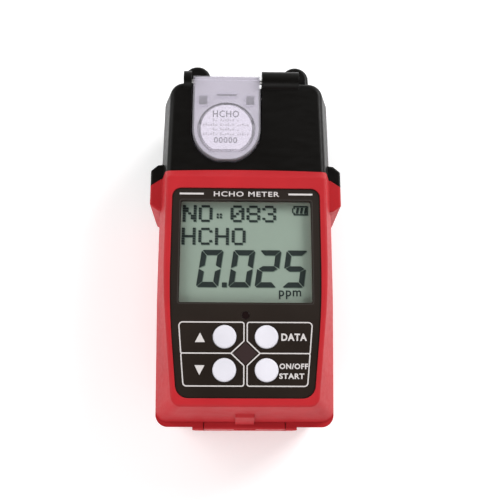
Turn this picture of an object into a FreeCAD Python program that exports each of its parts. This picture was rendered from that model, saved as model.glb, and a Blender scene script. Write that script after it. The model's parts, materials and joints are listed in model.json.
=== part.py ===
import FreeCAD
import Part
import math
import os

# Handheld formaldehyde meter, lying on its back. Millimetres.
# +Z points out of the front panel, +Y toward the sensor head, +X to the right of the display.
# The origin is the middle of the bounding box, on the plane of the back.

# ---------------------------------------------------------------- overall
overall_length = 158.0        # bottom lugs to bumper lobes, along Y
overall_depth = 57.0          # back to the rim round the panel, along Z
wall = 2.2                    # case wall
seam_gap = 0.16               # between case mouldings
deck_thickness = 2.15         # case wall under the panel
touch_gap = 0.05              # between parts stacked under the deck

# ---------------------------------------------------------------- case outline
tray_to_side = 3.3            # battery tray to the case's side, at the back
side_draft = 3.4              # each side leans out this much, back to parting plane
end_taper = 1.1               # each side turns in this much by the bottom end, at the parting plane
back_end_taper = 0.2          # and at the back
face_draft = 4.0              # each side leans in this much, parting plane to rim
face_end_draft = 7.7          # and at the bottom end
lug_reach = 4.0               # side lugs outside the parting plane
front_depth = 17.0            # parting plane below the rim
body_end_inset = 3.1          # front moulding behind the bottom lugs, at the parting plane
rear_end_inset = 1.1          # rear moulding behind the bottom lugs
face_end_rise = 5.2           # how far the bottom bevel leans in
back_end_rise = 1.6           # how far the bottom end leans in at the back
face_bend_y = -24.0           # where the face starts to narrow
head_length = 52.0            # seam to the top of the bumper lobes
seam_slope_run = 4.1          # slope from the rim down to the head, along Y
seam_slope_drop = 3.2         # and along Z
seam_sag = 1.0                # the seam bows toward the head
back_edge_round = 3.0
rim_round = 1.1

# ---------------------------------------------------------------- head
head_drop = 3.5               # head face below the rim
head_face_draft = 3.4         # each side leans in this much, parting plane to head face
head_taper = 1.0              # each side turns in this much by the top end, at the parting plane
head_face_taper = 1.2         # and at the head face
head_end_inset = 11.4         # head face edge to the top of the bumper lobes
head_end_draft = 1.4          # the top end leans out this much by the parting plane
head_corner_radius = 6.0
head_round = 2.4
lobe_offset = 21.7
lobe_radius = 5.9
lobe_drop = 10.2              # lobe top below the rim
lobe_foot = 7.0               # lobe foot above the back
ear_drop = 12.5               # side lug face below the rim
ear_foot = 12.0
ear_length = 20.5
ear_above_seam = 5.6

# ---------------------------------------------------------------- panel and display
panel_recess = 0.5
panel_thickness = 1.5
panel_half_width = 30.45
panel_end_half_width = 26.75
top_rim = 5.0
bottom_rim = 3.0
panel_clearance = 0.15
window_width = 53.3
window_height = 42.5
header_band = 5.5             # panel top edge to window
lens_lap = 1.0
lens_thickness = 1.05
lcd_lap = 1.8
lcd_thickness = 2.2
lcd_frame_wall = 1.5
zebra_thickness = 1.6
zebra_inset = 0.9             # contact strip inside the glass's edge
backlight_thickness = 1.6

# ---------------------------------------------------------------- keypad
button_diameter = 9.3
button_clearance = 0.2
button_gap = 7.2              # between buttons, along X
row_gap = 3.7                 # and along Y
lower_row_rise = 10.9         # panel bottom edge to the lower row
button_below_rim = 0.1
button_travel = 0.6
flange_lap = 1.1
flange_thickness = 1.2
plunger_diameter = 3.3
switch_side = 6.2
switch_height = 2.3
switch_gap = 0.1              # plunger to switch, beyond the travel
indicator_diameter = 3.1
indicator_below_window = 5.2

# ---------------------------------------------------------------- boards
pcb_thickness = 1.6
pcb_half_width = 28.5
pcb_drop = 9.0                # board top below the rim
pcb_screw_radius = 0.8

# ---------------------------------------------------------------- sensor holder and its well
sensor_x = -8.5
sensor_to_hinge = 23.6
holder_side_wall = 2.3        # holder wall beside the ring round the element
holder_end = 14.0             # sensor centre to the flat end
holder_proud = 1.5            # holder above the head face
holder_height = 7.5
holder_plate = 1.8
holder_clearance = 0.6
element_diameter = 21.8
element_flat = 9.1            # centre to the flat
element_height = 5.0
element_ring = 1.3            # gap round the element
window_diameter = 8.4
well_depth = 7.0
well_wall = 1.8
optic_height = 8.0
hinge_inset = 10.3            # hinge axis to the top of the lobes
hinge_drop = 5.5              # hinge axis below the rim
hinge_lug_radius = 4.6
hinge_barrel_radius = 2.6
hinge_pin_diameter = 2.0
pin_clearance = 0.06
left_lug_width = 3.4
right_lug_width = 16.0
lug_gap = 0.7
ball_radius = 1.0             # click ball in the well's wall

# ---------------------------------------------------------------- batteries and door
cell_diameter = 14.3
cell_length = 50.5
cell_gap = 0.7
cell_count = 4
spring_length = 4.8
contact_thickness = 0.5
tray_wall = 1.1
door_thickness = 1.7
door_clearance = 0.25
door_recess = 2.15
door_lip = 1.2
bay_gap_y = 13.2              # bottom lugs to the battery tray

# ---------------------------------------------------------------- bottom flap and sockets
flap_half_width = 16.4
flap_thickness = 1.8
flap_clearance = 0.25
bracket_width = 4.4
flap_pin_diameter = 1.6
flap_barrel_radius = 1.4
flap_hinge_z = 8.6
flap_hinge_inset = 2.2        # hinge axis inside the lugs' end
end_lean = 0.8                # flap and lugs lean in this much toward the back
tab_half_width = 4.4
catch_half_width = 3.8
socket_bay_depth = 5.6
usb_x = -7.0
jack_x = 7.5
socket_z = 27.0
socket_reach = 1.9            # socket bodies behind the bay's bulkhead

# ---------------------------------------------------------------- case screws
boss_radius = 3.7
screw_head_radius = 2.8
screw_radius = 1.35
screw_fit = 0.06
joint_screw_x = 20.0
joint_screw_z = 8.0

# ---------------------------------------------------------------- derived places
top_y = overall_length / 2
bottom_y = -overall_length / 2
rim_z = overall_depth
parting_z = rim_z - front_depth
cell_pitch = cell_diameter + cell_gap
tray_half_width = cell_pitch * cell_count / 2 + 0.3
back_half_width = tray_half_width + tray_to_side
back_end_half_width = back_half_width - back_end_taper
body_half_width = back_half_width + side_draft
body_end_half_width = body_half_width - end_taper
face_half_width = body_half_width - face_draft
face_end_half_width = body_end_half_width - face_end_draft
overall_width = 2 * (body_half_width + lug_reach)
head_top_half_width = body_half_width - head_taper
head_face_half_width = body_half_width - head_face_draft
head_face_top_half_width = head_face_half_width - head_face_taper
head_z = rim_z - head_drop
panel_top_z = rim_z - panel_recess
panel_bottom_z = panel_top_z - panel_thickness
deck_bottom_z = panel_bottom_z - deck_thickness
pcb_top_z = rim_z - pcb_drop
pcb_bottom_z = pcb_top_z - pcb_thickness
seam_y = top_y - head_length
rim_top_y = seam_y - seam_slope_run
body_end_y = bottom_y + body_end_inset
rear_end_y = bottom_y + rear_end_inset
face_end_y = body_end_y + face_end_rise
head_end_y = top_y - head_end_inset
panel_top_y = rim_top_y - top_rim
panel_end_y = face_end_y + bottom_rim
window_top_y = panel_top_y - header_band
window_y = window_top_y - window_height / 2
lower_row_y = panel_end_y + lower_row_rise
upper_row_y = lower_row_y + button_diameter + row_gap
indicator_y = window_y - window_height / 2 - indicator_below_window
hinge_y = top_y - hinge_inset
hinge_z = rim_z - hinge_drop
sensor_y = hinge_y - sensor_to_hinge
holder_half_width = element_diameter / 2 + element_ring + holder_side_wall
holder_top_z = head_z + holder_proud
holder_bottom_z = holder_top_z - holder_height
well_floor_z = head_z - well_depth
tray_end_y = bottom_y + bay_gap_y
tray_length = cell_length + spring_length + 2 * contact_thickness
tray_top_y = tray_end_y + tray_length + 2 * tray_wall
door_floor_z = door_recess + 2.15
cell_z = door_recess + 0.3 + cell_diameter / 2
tray_roof_z = cell_z + cell_diameter / 2 + 0.3
door_half_width = tray_half_width + 0.2
door_top_y = tray_top_y + 2.5
button_x = (button_diameter + button_gap) / 2
lcd_half_width = window_width / 2 + lcd_lap
lcd_half_height = window_height / 2 + lcd_lap
lcd_top_z = deck_bottom_z - touch_gap
lcd_bottom_z = lcd_top_z - lcd_thickness
zebra_y = window_y - lcd_half_height + zebra_inset
plunger_top_z = deck_bottom_z - touch_gap - flange_thickness
plunger_bottom_z = pcb_top_z + button_travel + switch_gap
element_top_z = holder_top_z - holder_plate
element_bottom_z = element_top_z - element_height
optic_bottom_z = well_floor_z - well_wall - optic_height
flap_hinge_y = bottom_y + flap_hinge_inset
bay_back_y = rear_end_y + wall + socket_bay_depth
socket_back_y = bay_back_y + socket_reach
buttons = {
    "up": (-button_x, upper_row_y),
    "down": (-button_x, lower_row_y),
    "data": (button_x, upper_row_y),
    "power": (button_x, lower_row_y),
}


# ---------------------------------------------------------------- small tools
def vec(x, y, z):
    return FreeCAD.Vector(x, y, z)


def box(x0, x1, y0, y1, z0, z1):
    return Part.makeBox(x1 - x0, y1 - y0, z1 - z0, vec(x0, y0, z0))


def rod(radius, x, y, z0, z1):
    return Part.makeCylinder(radius, z1 - z0, vec(x, y, z0))


def rod_x(radius, x0, x1, y, z):
    return Part.makeCylinder(radius, x1 - x0, vec(x0, y, z), vec(1, 0, 0))


def rod_y(radius, x, y0, y1, z):
    return Part.makeCylinder(radius, y1 - y0, vec(x, y0, z), vec(0, 1, 0))


def joined(first, *others):
    return first.fuse(list(others)).removeSplitter()


def save(name, *solids):
    shape = solids[0] if len(solids) == 1 else Part.makeCompound(list(solids))
    shape.exportStep("parts/%s.step" % name)


def rounded_outline(corners, z):
    """A closed wire at height z through corners (x, y, radius), an arc at each corner."""
    edges = []
    joints = []
    count = len(corners)
    for i in range(count):
        x, y, radius = corners[i]
        here = vec(x, y, z)
        before = vec(corners[i - 1][0], corners[i - 1][1], z)
        after = vec(corners[(i + 1) % count][0], corners[(i + 1) % count][1], z)
        back = (before - here).normalize()
        ahead = (after - here).normalize()
        half = back.getAngle(ahead) / 2
        reach = radius / math.tan(half)
        middle = (back + ahead).normalize() * (radius / math.sin(half) - radius)
        joints.append((here + back * reach, here + middle, here + ahead * reach))
    for i in range(count):
        start, middle, end = joints[i]
        edges.append(Part.Arc(start, middle, end).toShape())
        edges.append(Part.LineSegment(end, joints[(i + 1) % count][0]).toShape())
    return Part.Wire(edges)


def mirrored_outline(right_side, z):
    """An outline symmetric about X = 0, from its right-hand corners, top to bottom."""
    left_side = [(-x, y, radius) for x, y, radius in reversed(right_side)]
    return rounded_outline(right_side + left_side, z)


def rectangle(half_width, y0, y1, radius, z):
    return mirrored_outline([(half_width, y1, radius), (half_width, y0, radius)], z)


def slab(wire, z1):
    """The wire's face raised to z1."""
    face = Part.Face(wire)
    return face.extrude(vec(0, 0, z1 - wire.BoundBox.ZMin))


def loft(lower, upper):
    return Part.makeLoft([lower, upper], True, True)


# ---------------------------------------------------------------- case envelopes
def body_front(inset):
    """The red front moulding's outer form, or its cavity when inset."""
    slope = seam_slope_run / seam_slope_drop
    parting = mirrored_outline([
        (body_half_width - inset, rim_top_y - inset + slope * front_depth, 2.0),
        (body_half_width - inset, face_bend_y, 400.0),
        (body_end_half_width - inset, body_end_y + inset, 4.8 - 0.6 * inset),
    ], parting_z)
    face = mirrored_outline([
        (face_half_width - inset, rim_top_y - inset, 2.0),
        (face_half_width - inset, face_bend_y, 300.0),
        (face_end_half_width - inset, face_end_y + inset, 4.0 - 0.6 * inset),
    ], rim_z)
    return loft(parting, face)


def body_rear_outline(inset, z):
    """The red rear moulding's outline at height z, narrowing toward the back."""
    share = z / parting_z
    return mirrored_outline([
        (back_half_width + (body_half_width - back_half_width) * share - inset, seam_y + 20.0, 2.0),
        (back_half_width + (body_half_width - back_half_width) * share - inset, face_bend_y, 400.0),
        (
            back_end_half_width + (body_end_half_width - back_end_half_width) * share - inset,
            rear_end_y + back_end_rise * (1.0 - share) + inset,
            6.0 - share - 0.6 * inset,
        ),
    ], z)


def head_rear_outline(inset, z):
    """The black rear moulding's outline at height z."""
    share = z / parting_z
    return mirrored_outline([
        (
            back_half_width + (head_top_half_width - back_half_width) * share - inset,
            head_end_y + head_end_draft * share - inset,
            head_corner_radius + 1.5 - 0.8 * inset,
        ),
        (back_half_width + (body_half_width - back_half_width) * share - inset, seam_y - 20.0, 2.0),
    ], z)


def rear_form(outline, inset, edge_round):
    """A rear moulding from the back to the parting plane, its back edge rounded in three steps."""
    sections = []
    if edge_round > 0.0:
        for step in range(4):
            angle = math.radians(30.0 * step)
            sections.append(outline(
                inset + edge_round * (1.0 - math.sin(angle)), edge_round * (1.0 - math.cos(angle))))
    else:
        sections.append(outline(inset, 0.0))
    sections.append(outline(inset, parting_z))
    return Part.makeLoft(sections, True, True)


def body_rear(inset, edge_round=0.0):
    return rear_form(body_rear_outline, inset, edge_round)


def head_rear(inset, edge_round=0.0):
    return rear_form(head_rear_outline, inset, edge_round)


def head_front(inset):
    parting = mirrored_outline([
        (head_top_half_width - inset, head_end_y + head_end_draft - inset, head_corner_radius + 1.5 - inset),
        (body_half_width - inset, seam_y - 20.0, 2.0),
    ], parting_z)
    face = mirrored_outline([
        (head_face_top_half_width - inset, head_end_y - inset, head_corner_radius - inset),
        (head_face_half_width - inset, seam_y - 20.0, 2.0),
    ], head_z)
    return loft(parting, face)


def seam_zone(side, offset):
    """Everything on one side of the seam: side 1 is the head's, -1 the body's."""
    far = side * overall_length
    shift = side * offset
    reach = overall_width
    bend = body_half_width - 0.5
    lug_slope = 2.0 / 3.0
    left = vec(-bend, seam_y - seam_sag + shift, -10)
    right = vec(bend, seam_y - seam_sag + shift, -10)
    far_y = seam_y - seam_sag + shift - lug_slope * (reach - bend)
    points = [vec(reach, far_y, -10), vec(reach, far, -10), vec(-reach, far, -10), vec(-reach, far_y, -10)]
    edges = [
        Part.Arc(left, vec(0, seam_y + shift, -10), right).toShape(),
        Part.LineSegment(right, points[0]).toShape(),
        Part.LineSegment(points[0], points[1]).toShape(),
        Part.LineSegment(points[1], points[2]).toShape(),
        Part.LineSegment(points[2], points[3]).toShape(),
        Part.LineSegment(points[3], left).toShape(),
    ]
    return Part.Face(Part.Wire(edges)).extrude(vec(0, 0, overall_depth + 20))


def ears():
    """The two side lugs that bridge the seam."""
    outer = overall_width / 2
    top = seam_y + ear_above_seam
    inner = body_half_width - 2.0
    side = [
        (inner, top + 0.4, 0.3),
        (outer - 3.0, top, 1.2),
        (outer, top - 2.6, 1.2),
        (outer, top - ear_length + 2.4, 1.2),
        (outer - 3.4, top - ear_length, 1.2),
        (inner, top - ear_length - 0.6, 0.3),
    ]
    right = slab(rounded_outline(side, ear_foot), rim_z - ear_drop)
    rims = [e for e in right.Edges if abs(e.BoundBox.ZMax - e.BoundBox.ZMin) < 0.01 and e.BoundBox.XMax > inner + 1]
    right = right.makeFillet(0.8, rims)
    return [right, right.mirror(vec(0, 0, 0), vec(1, 0, 0))]


def below(z):
    return box(-90, 90, -140, 140, -20, z)


def above(z):
    return box(-90, 90, -140, 140, z, overall_depth + 20)


def rim_edges(solid, z):
    return [e for e in solid.Edges if e.BoundBox.ZMin > z - 0.01 and e.BoundBox.ZMax < z + 0.01]


# ---------------------------------------------------------------- fastening places
def body_screws():
    """Case screw places of the red mouldings: two under the battery door, two above it."""
    low = rear_end_y + wall + boss_radius + 1.8
    high = seam_y - 6.6
    return [(-28.4, low), (28.4, low), (-28.4, high), (28.4, high)]


def head_screws():
    low = seam_y + 9.5
    high = head_end_y - 8.0
    return [(-29.6, low), (29.6, low), (-29.6, high), (29.6, high)]


def rear_boss(x, y):
    return rod(boss_radius, x, y, 0.2, parting_z - seam_gap / 2)


def screw_bore(x, y):
    """Counterbore from the back, then the shank's hole."""
    shoulder = parting_z - 11.0
    return joined(
        rod(screw_head_radius + 0.3, x, y, -1.0, shoulder),
        rod(screw_radius + 0.3, x, y, shoulder - 1.0, parting_z + 1.0),
    )


def front_boss(x, y, roof_z):
    """A boss that hangs from the front wall and takes a case screw's thread."""
    return rod(boss_radius - 0.4, x, y, parting_z + seam_gap / 2, roof_z + 0.3)


def case_screw(x, y):
    """A pan head screw with a cross recess, driven from the back."""
    shoulder = parting_z - 11.0
    head = rod(screw_head_radius, x, y, shoulder - 2.0, shoulder)
    rim = [e for e in head.Edges if abs(e.BoundBox.ZMax - shoulder + 2.0) < 0.01]
    head = head.makeFillet(0.8, rim)
    shank = rod(screw_radius, x, y, shoulder, parting_z + 6.5)
    cross = joined(
        box(x - 1.5, x + 1.5, y - 0.3, y + 0.3, shoulder - 3.0, shoulder - 1.0),
        box(x - 0.3, x + 0.3, y - 1.5, y + 1.5, shoulder - 3.0, shoulder - 1.0),
    )
    return joined(head, shank).cut(cross)


def pcb_screw_places():
    low = lower_row_y - 5.7
    high = window_y - window_height / 2 - 7.4
    return [(-22.0, low), (22.0, low), (-25.0, high), (25.0, high)]


def joint_block(side_x):
    """A block on the floor where the head and the body screw together."""
    return box(side_x - 4.5, side_x + 4.5, seam_y - 5.5, seam_y + 4.5, 1.0, joint_screw_z + 5.0)


def joint_screw(side_x):
    head = rod_y(2.4, side_x, seam_y - 7.2, seam_y - 5.5, joint_screw_z)
    return joined(head, rod_y(1.2, side_x, seam_y - 5.5, seam_y + 3.6, joint_screw_z))


# ---------------------------------------------------------------- red mouldings
def make_front_shell():
    outer = body_front(0.0)
    outer = outer.makeFillet(rim_round, rim_edges(outer, rim_z))
    cavity = body_front(wall).common(below(deck_bottom_z))
    lugs = [ear.common(above(parting_z)) for ear in ears()]
    bosses = [front_boss(x, y, deck_bottom_z) for x, y in body_screws()]
    posts = [rod(2.4, x, y, pcb_top_z, deck_bottom_z + 0.2) for x, y in pcb_screw_places()]
    shell = outer.cut(cavity)
    shell = joined(shell, *[lug.cut(cavity) for lug in lugs])
    shell = joined(shell, *[boss.common(outer) for boss in bosses])
    shell = joined(shell, *posts)
    shell = joined(shell, make_catch_block())
    recess = mirrored_outline(panel_corners(0.0), panel_bottom_z)
    shell = shell.cut(slab(recess, rim_z + 1.0))
    lens_hole = rectangle(
        window_width / 2 + lens_lap + 0.15,
        window_y - window_height / 2 - lens_lap - 0.15,
        window_top_y + lens_lap + 0.15, 1.5, deck_bottom_z - 1.0)
    shell = shell.cut(slab(lens_hole, rim_z))
    for x, y in buttons.values():
        shell = shell.cut(rod(button_diameter / 2 + button_clearance, x, y, deck_bottom_z - 1.0, rim_z))
    shell = shell.cut(rod(indicator_diameter / 2 + 0.1, 0.0, indicator_y, deck_bottom_z - 1.0, rim_z))
    for x, y in body_screws():
        shell = shell.cut(rod(screw_radius + screw_fit, x, y, parting_z - 1.0, parting_z + 6.8))
    for x, y in pcb_screw_places():
        shell = shell.cut(rod(pcb_screw_radius + screw_fit, x, y, pcb_top_z - 1.0, pcb_top_z + 3.8))
    shell = shell.common(seam_zone(-1, seam_gap / 2))
    return shell.common(above(parting_z + seam_gap / 2))


def make_catch_block():
    """The raised block in the bottom bevel, over the flap's thumb tab."""
    lean = face_end_rise / front_depth
    high = parting_z + 9.5
    profile = [
        vec(-catch_half_width, body_end_y + 2.0, parting_z),
        vec(-catch_half_width, body_end_y - 1.0, parting_z),
        vec(-catch_half_width, body_end_y + lean * 8.0 - 1.0, high - 1.5),
        vec(-catch_half_width, body_end_y + lean * 9.5 + 0.6, high),
        vec(-catch_half_width, body_end_y + lean * 9.5 + 2.0, high),
    ]
    face = Part.Face(Part.makePolygon(profile + [profile[0]]))
    return face.extrude(vec(2 * catch_half_width, 0, 0))


def make_rear_shell():
    outer = body_rear(0.0, back_edge_round)
    cavity = body_rear(wall).common(above(wall))
    shell = outer.cut(cavity)
    lugs = [ear.common(below(parting_z)).cut(cavity) for ear in ears()]
    pad = box(-door_half_width - 3.4, door_half_width + 3.4, rear_end_y, door_top_y + 3.0, 0.5, door_floor_z)
    bosses = [rear_boss(x, y).common(outer) for x, y in body_screws()]
    blocks = [joint_block(x).common(outer) for x in (-joint_screw_x, joint_screw_x)]
    shell = joined(shell, pad.common(outer), *lugs)
    shell = joined(shell, *bosses)
    shell = joined(shell, *blocks)
    shell = joined(shell, make_socket_bay().common(outer))
    shell = joined(shell, *make_brackets())
    shell = shell.cut(box(
        -flap_half_width - flap_clearance, flap_half_width + flap_clearance,
        bottom_y - 2.0, rear_end_y + wall + 0.3, flap_hinge_z - flap_barrel_radius - 0.4, parting_z + 5.0))
    shell = shell.cut(door_recess_cut())
    shell = shell.cut(box(
        -tray_half_width, tray_half_width, tray_end_y + tray_wall, tray_top_y - tray_wall, -1.0, door_floor_z + 1.0))
    for x, y in body_screws():
        shell = shell.cut(screw_bore(x, y))
    for x in (-joint_screw_x, joint_screw_x):
        shell = shell.cut(rod_y(1.2 + screw_fit, x, seam_y - 10.0, seam_y + 10.0, joint_screw_z))
    for x in (usb_x, jack_x):
        shell = shell.cut(socket_hole(x))
    shell = shell.cut(rod_x(
        flap_pin_diameter / 2 + 0.02, -flap_half_width - bracket_width + 1.0,
        flap_half_width + bracket_width - 1.0, flap_hinge_y, flap_hinge_z))
    shell = shell.common(seam_zone(-1, seam_gap / 2))
    return shell.common(below(parting_z - seam_gap / 2))


def door_recess_cut():
    """A T-shaped channel in the back, open at the bottom end, for the battery door."""
    half = door_half_width + door_clearance
    mouth = box(-half, half, bottom_y - 3.0, door_top_y + door_clearance, -1.0, door_recess)
    groove = box(
        -half - door_lip, half + door_lip, bottom_y - 3.0, door_top_y + door_clearance,
        door_recess - 1.15, door_recess)
    return joined(mouth, groove)


def make_socket_bay():
    """The walled bay behind the flap, with a bulkhead that the sockets come through."""
    half = flap_half_width + flap_clearance
    low = door_floor_z
    block = box(-half - 1.8, half + 1.8, rear_end_y + 0.5, bay_back_y + 1.6, low - 0.5, parting_z)
    hollow = box(-half, half, rear_end_y - 2.0, bay_back_y, flap_hinge_z - flap_barrel_radius - 0.4, parting_z + 1)
    return block.cut(hollow)


def socket_hole(x):
    if x == usb_x:
        return box(x - 4.2, x + 4.2, bay_back_y - 1.0, bay_back_y + 3.0, socket_z - 2.2, socket_z + 2.2)
    return rod_y(4.4, x, bay_back_y - 1.0, bay_back_y + 3.0, socket_z)


def make_brackets():
    """The two lugs beside the flap: they guard it and hold its hinge pin."""
    brackets = []
    for side in (-1, 1):
        near = flap_half_width + flap_clearance
        xs = sorted((side * near, side * (near + bracket_width)))
        block = box(xs[0], xs[1], bottom_y, rear_end_y + wall + 1.0, flap_hinge_z - 3.4, parting_z - seam_gap / 2)
        outer_edges = [
            e for e in block.Edges
            if e.BoundBox.YMax < bottom_y + 0.01 and e.BoundBox.ZMax - e.BoundBox.ZMin < 0.01]
        brackets.append(block.makeFillet(0.9, outer_edges).cut(end_wedge()))
    return brackets


def end_wedge():
    """What the flap and its lugs lose to lean in toward the back."""
    reach = flap_half_width + bracket_width + 2.0
    corners = [
        vec(-reach, bottom_y, parting_z - 6.0),
        vec(-reach, bottom_y + end_lean, 0.0),
        vec(-reach, bottom_y - 1.0, 0.0),
        vec(-reach, bottom_y - 1.0, parting_z - 6.0),
    ]
    return Part.Face(Part.makePolygon(corners + [corners[0]])).extrude(vec(2 * reach, 0, 0))


# ---------------------------------------------------------------- black head mouldings
def u_outline(clearance, z, top):
    """The holder's U: straight sides, round shoulders, a short flat end."""
    half = holder_half_width + clearance
    centre = vec(sensor_x, sensor_y, z)
    drop = holder_end + clearance
    reach = math.sqrt(half * half - drop * drop) if half > drop else 0.5
    diagonal = math.radians(225.0)
    low_left = vec(sensor_x - reach, sensor_y - drop, z)
    low_right = vec(sensor_x + reach, sensor_y - drop, z)
    left_mid = centre + vec(math.cos(diagonal), math.sin(diagonal), 0) * half
    right_mid = centre + vec(-math.cos(diagonal), math.sin(diagonal), 0) * half
    left = vec(sensor_x - half, sensor_y, z)
    right = vec(sensor_x + half, sensor_y, z)
    top_left = vec(sensor_x - half, top, z)
    top_right = vec(sensor_x + half, top, z)
    return Part.Wire([
        Part.LineSegment(top_left, left).toShape(),
        Part.Arc(left, left_mid, low_left).toShape(),
        Part.LineSegment(low_left, low_right).toShape(),
        Part.Arc(low_right, right_mid, right).toShape(),
        Part.LineSegment(right, top_right).toShape(),
        Part.LineSegment(top_right, top_left).toShape(),
    ])


def hinge_lug(x0, x1):
    """A rounded lug on the head's top edge that carries the hinge pin."""
    round_part = rod_x(hinge_lug_radius, x0, x1, hinge_y, hinge_z)
    web = box(x0, x1, hinge_y - hinge_lug_radius - 1.5, hinge_y, hinge_z - hinge_lug_radius, head_z - 0.2)
    return joined(round_part, web)


def lug_spans():
    left = sensor_x - holder_half_width - lug_gap
    right = sensor_x + holder_half_width + lug_gap
    return [(left - left_lug_width, left), (right, right + right_lug_width)]


def make_head_front_shell():
    outer = head_front(0.0)
    outer = outer.makeFillet(head_round, rim_edges(outer, head_z))
    cavity = head_front(wall).common(below(head_z - wall))
    shell = outer.cut(cavity)
    lugs = [ear.common(above(parting_z)).cut(cavity) for ear in ears()]
    bosses = [front_boss(x, y, head_z - wall).common(outer) for x, y in head_screws()]
    shell = joined(shell, *lugs)
    shell = joined(shell, *bosses)
    cup = slab(u_outline(holder_clearance + well_wall, well_floor_z - well_wall, head_end_y - 0.5), head_z - 1.0)
    shell = joined(shell, cup)
    shell = joined(shell, *[hinge_lug(x0, x1) for x0, x1 in lug_spans()])
    shell = joined(shell, make_stop_rib())
    well = slab(u_outline(holder_clearance, well_floor_z, head_end_y - wall), rim_z + 2.0)
    notch = rod_x(
        hinge_lug_radius + 0.6, sensor_x - holder_half_width - holder_clearance,
        sensor_x + holder_half_width + holder_clearance, hinge_y, hinge_z)
    notch_top = box(
        sensor_x - holder_half_width - holder_clearance, sensor_x + holder_half_width + holder_clearance,
        hinge_y - hinge_lug_radius - 0.6, hinge_y + hinge_lug_radius + 0.6, hinge_z, rim_z + 2.0)
    shell = shell.cut(well).cut(notch).cut(notch_top)
    shell = shell.cut(rod(window_diameter / 2, sensor_x, sensor_y, well_floor_z - 5.0, well_floor_z + 1.0))
    shell = shell.cut(rod_x(
        hinge_pin_diameter / 2 + 0.02, lug_spans()[0][0] + 0.8, lug_spans()[1][1] - 0.8, hinge_y, hinge_z))
    shell = shell.cut(Part.makeSphere(ball_radius + 0.02, detent_place()))
    for x, y in head_screws():
        shell = shell.cut(rod(screw_radius + screw_fit, x, y, parting_z - 1.0, parting_z + 6.8))
    shell = shell.common(seam_zone(1, seam_gap / 2))
    return shell.common(above(parting_z + seam_gap / 2))


def detent_place():
    """The centre of the steel ball that clicks the holder shut, in the well's right wall."""
    wall_x = sensor_x + holder_half_width + holder_clearance
    return vec(wall_x + 0.75, hinge_y - 8.6, head_z - 1.1)


def make_stop_rib():
    """A small rib on the top end that the open holder rests against."""
    x0 = sensor_x + holder_half_width - 5.6
    return box(x0, x0 + 4.2, head_end_y - 1.0, hinge_y + 2.6, hinge_z - 7.6, hinge_z - 5.9)


def make_lobe(side):
    """One rounded bumper lobe on the top end."""
    x = side * lobe_offset
    y = top_y - lobe_radius
    top = rim_z - lobe_drop
    round_part = rod(lobe_radius, x, y, lobe_foot, top)
    body = box(x - lobe_radius, x + lobe_radius, head_end_y - 3.0, y, lobe_foot, top)
    lobe = joined(round_part, body)
    crown = [e for e in lobe.Edges if e.BoundBox.ZMin > top - 0.01 and e.BoundBox.YMax > head_end_y]
    lobe = lobe.makeFillet(1.8, crown)
    clear = head_front(-seam_gap).common(above(parting_z - seam_gap / 2))
    return lobe.cut(clear)


def make_head_rear_shell():
    outer = head_rear(0.0, back_edge_round)
    cavity = head_rear(wall).common(above(wall))
    shell = outer.cut(cavity)
    lugs = [ear.common(below(parting_z)).cut(cavity) for ear in ears()]
    bosses = [rear_boss(x, y).common(outer) for x, y in head_screws()]
    blocks = [joint_block(x).common(outer) for x in (-joint_screw_x, joint_screw_x)]
    shell = joined(shell, *lugs)
    shell = joined(shell, *bosses)
    shell = joined(shell, *blocks)
    shell = shell.common(below(parting_z - seam_gap / 2))
    shell = joined(shell, *[make_lobe(side).cut(cavity) for side in (-1, 1)])
    for x, y in head_screws():
        shell = shell.cut(screw_bore(x, y))
    for x in (-joint_screw_x, joint_screw_x):
        shell = shell.cut(rod_y(1.2 + screw_fit, x, seam_y - 10.0, seam_y + 3.8, joint_screw_z))
    return shell.common(seam_zone(1, seam_gap / 2))


# ---------------------------------------------------------------- panel and display
def panel_corners(inset):
    return [
        (panel_half_width - inset, panel_top_y - inset, 3.8),
        (panel_half_width - inset, face_bend_y - 6.5, 300.0),
        (panel_end_half_width - inset, panel_end_y + inset, 5.2),
    ]


def make_face_panel():
    panel = slab(mirrored_outline(panel_corners(panel_clearance), panel_bottom_z), panel_top_z)
    window = rectangle(
        window_width / 2, window_y - window_height / 2, window_top_y, 0.8, panel_bottom_z - 1.0)
    panel = panel.cut(slab(window, rim_z))
    for x, y in buttons.values():
        panel = panel.cut(rod(button_diameter / 2 + button_clearance, x, y, panel_bottom_z - 1.0, rim_z))
    return panel.cut(rod(indicator_diameter / 2 + 0.1, 0.0, indicator_y, panel_bottom_z - 1.0, rim_z))


def make_display_lens():
    lens = rectangle(
        window_width / 2 + lens_lap, window_y - window_height / 2 - lens_lap, window_top_y + lens_lap,
        1.2, panel_bottom_z - lens_thickness)
    return slab(lens, panel_bottom_z)


def lcd_box(margin, z0, z1):
    return box(
        -lcd_half_width - margin, lcd_half_width + margin,
        window_y - lcd_half_height - margin, window_y + lcd_half_height + margin, z0, z1)


def make_lcd_glass():
    return lcd_box(0.0, lcd_bottom_z, lcd_top_z)


def make_lcd_frame():
    frame = lcd_box(lcd_frame_wall, pcb_top_z, lcd_top_z)
    frame = frame.cut(lcd_box(0.15, lcd_bottom_z, lcd_top_z + 1.0))
    frame = frame.cut(lcd_box(-3.2, pcb_top_z - 1.0, lcd_bottom_z + 1.0))
    return frame.cut(zebra_box(0.15, pcb_top_z - 1.0, lcd_bottom_z + 1.0))


def zebra_box(margin, z0, z1):
    half = lcd_half_width - 2.5 + margin
    return box(-half, half, zebra_y - margin, zebra_y + zebra_thickness + margin, z0, z1)


def make_backlight():
    return lcd_box(-3.4, lcd_bottom_z - 0.2 - backlight_thickness, lcd_bottom_z - 0.2)


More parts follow.
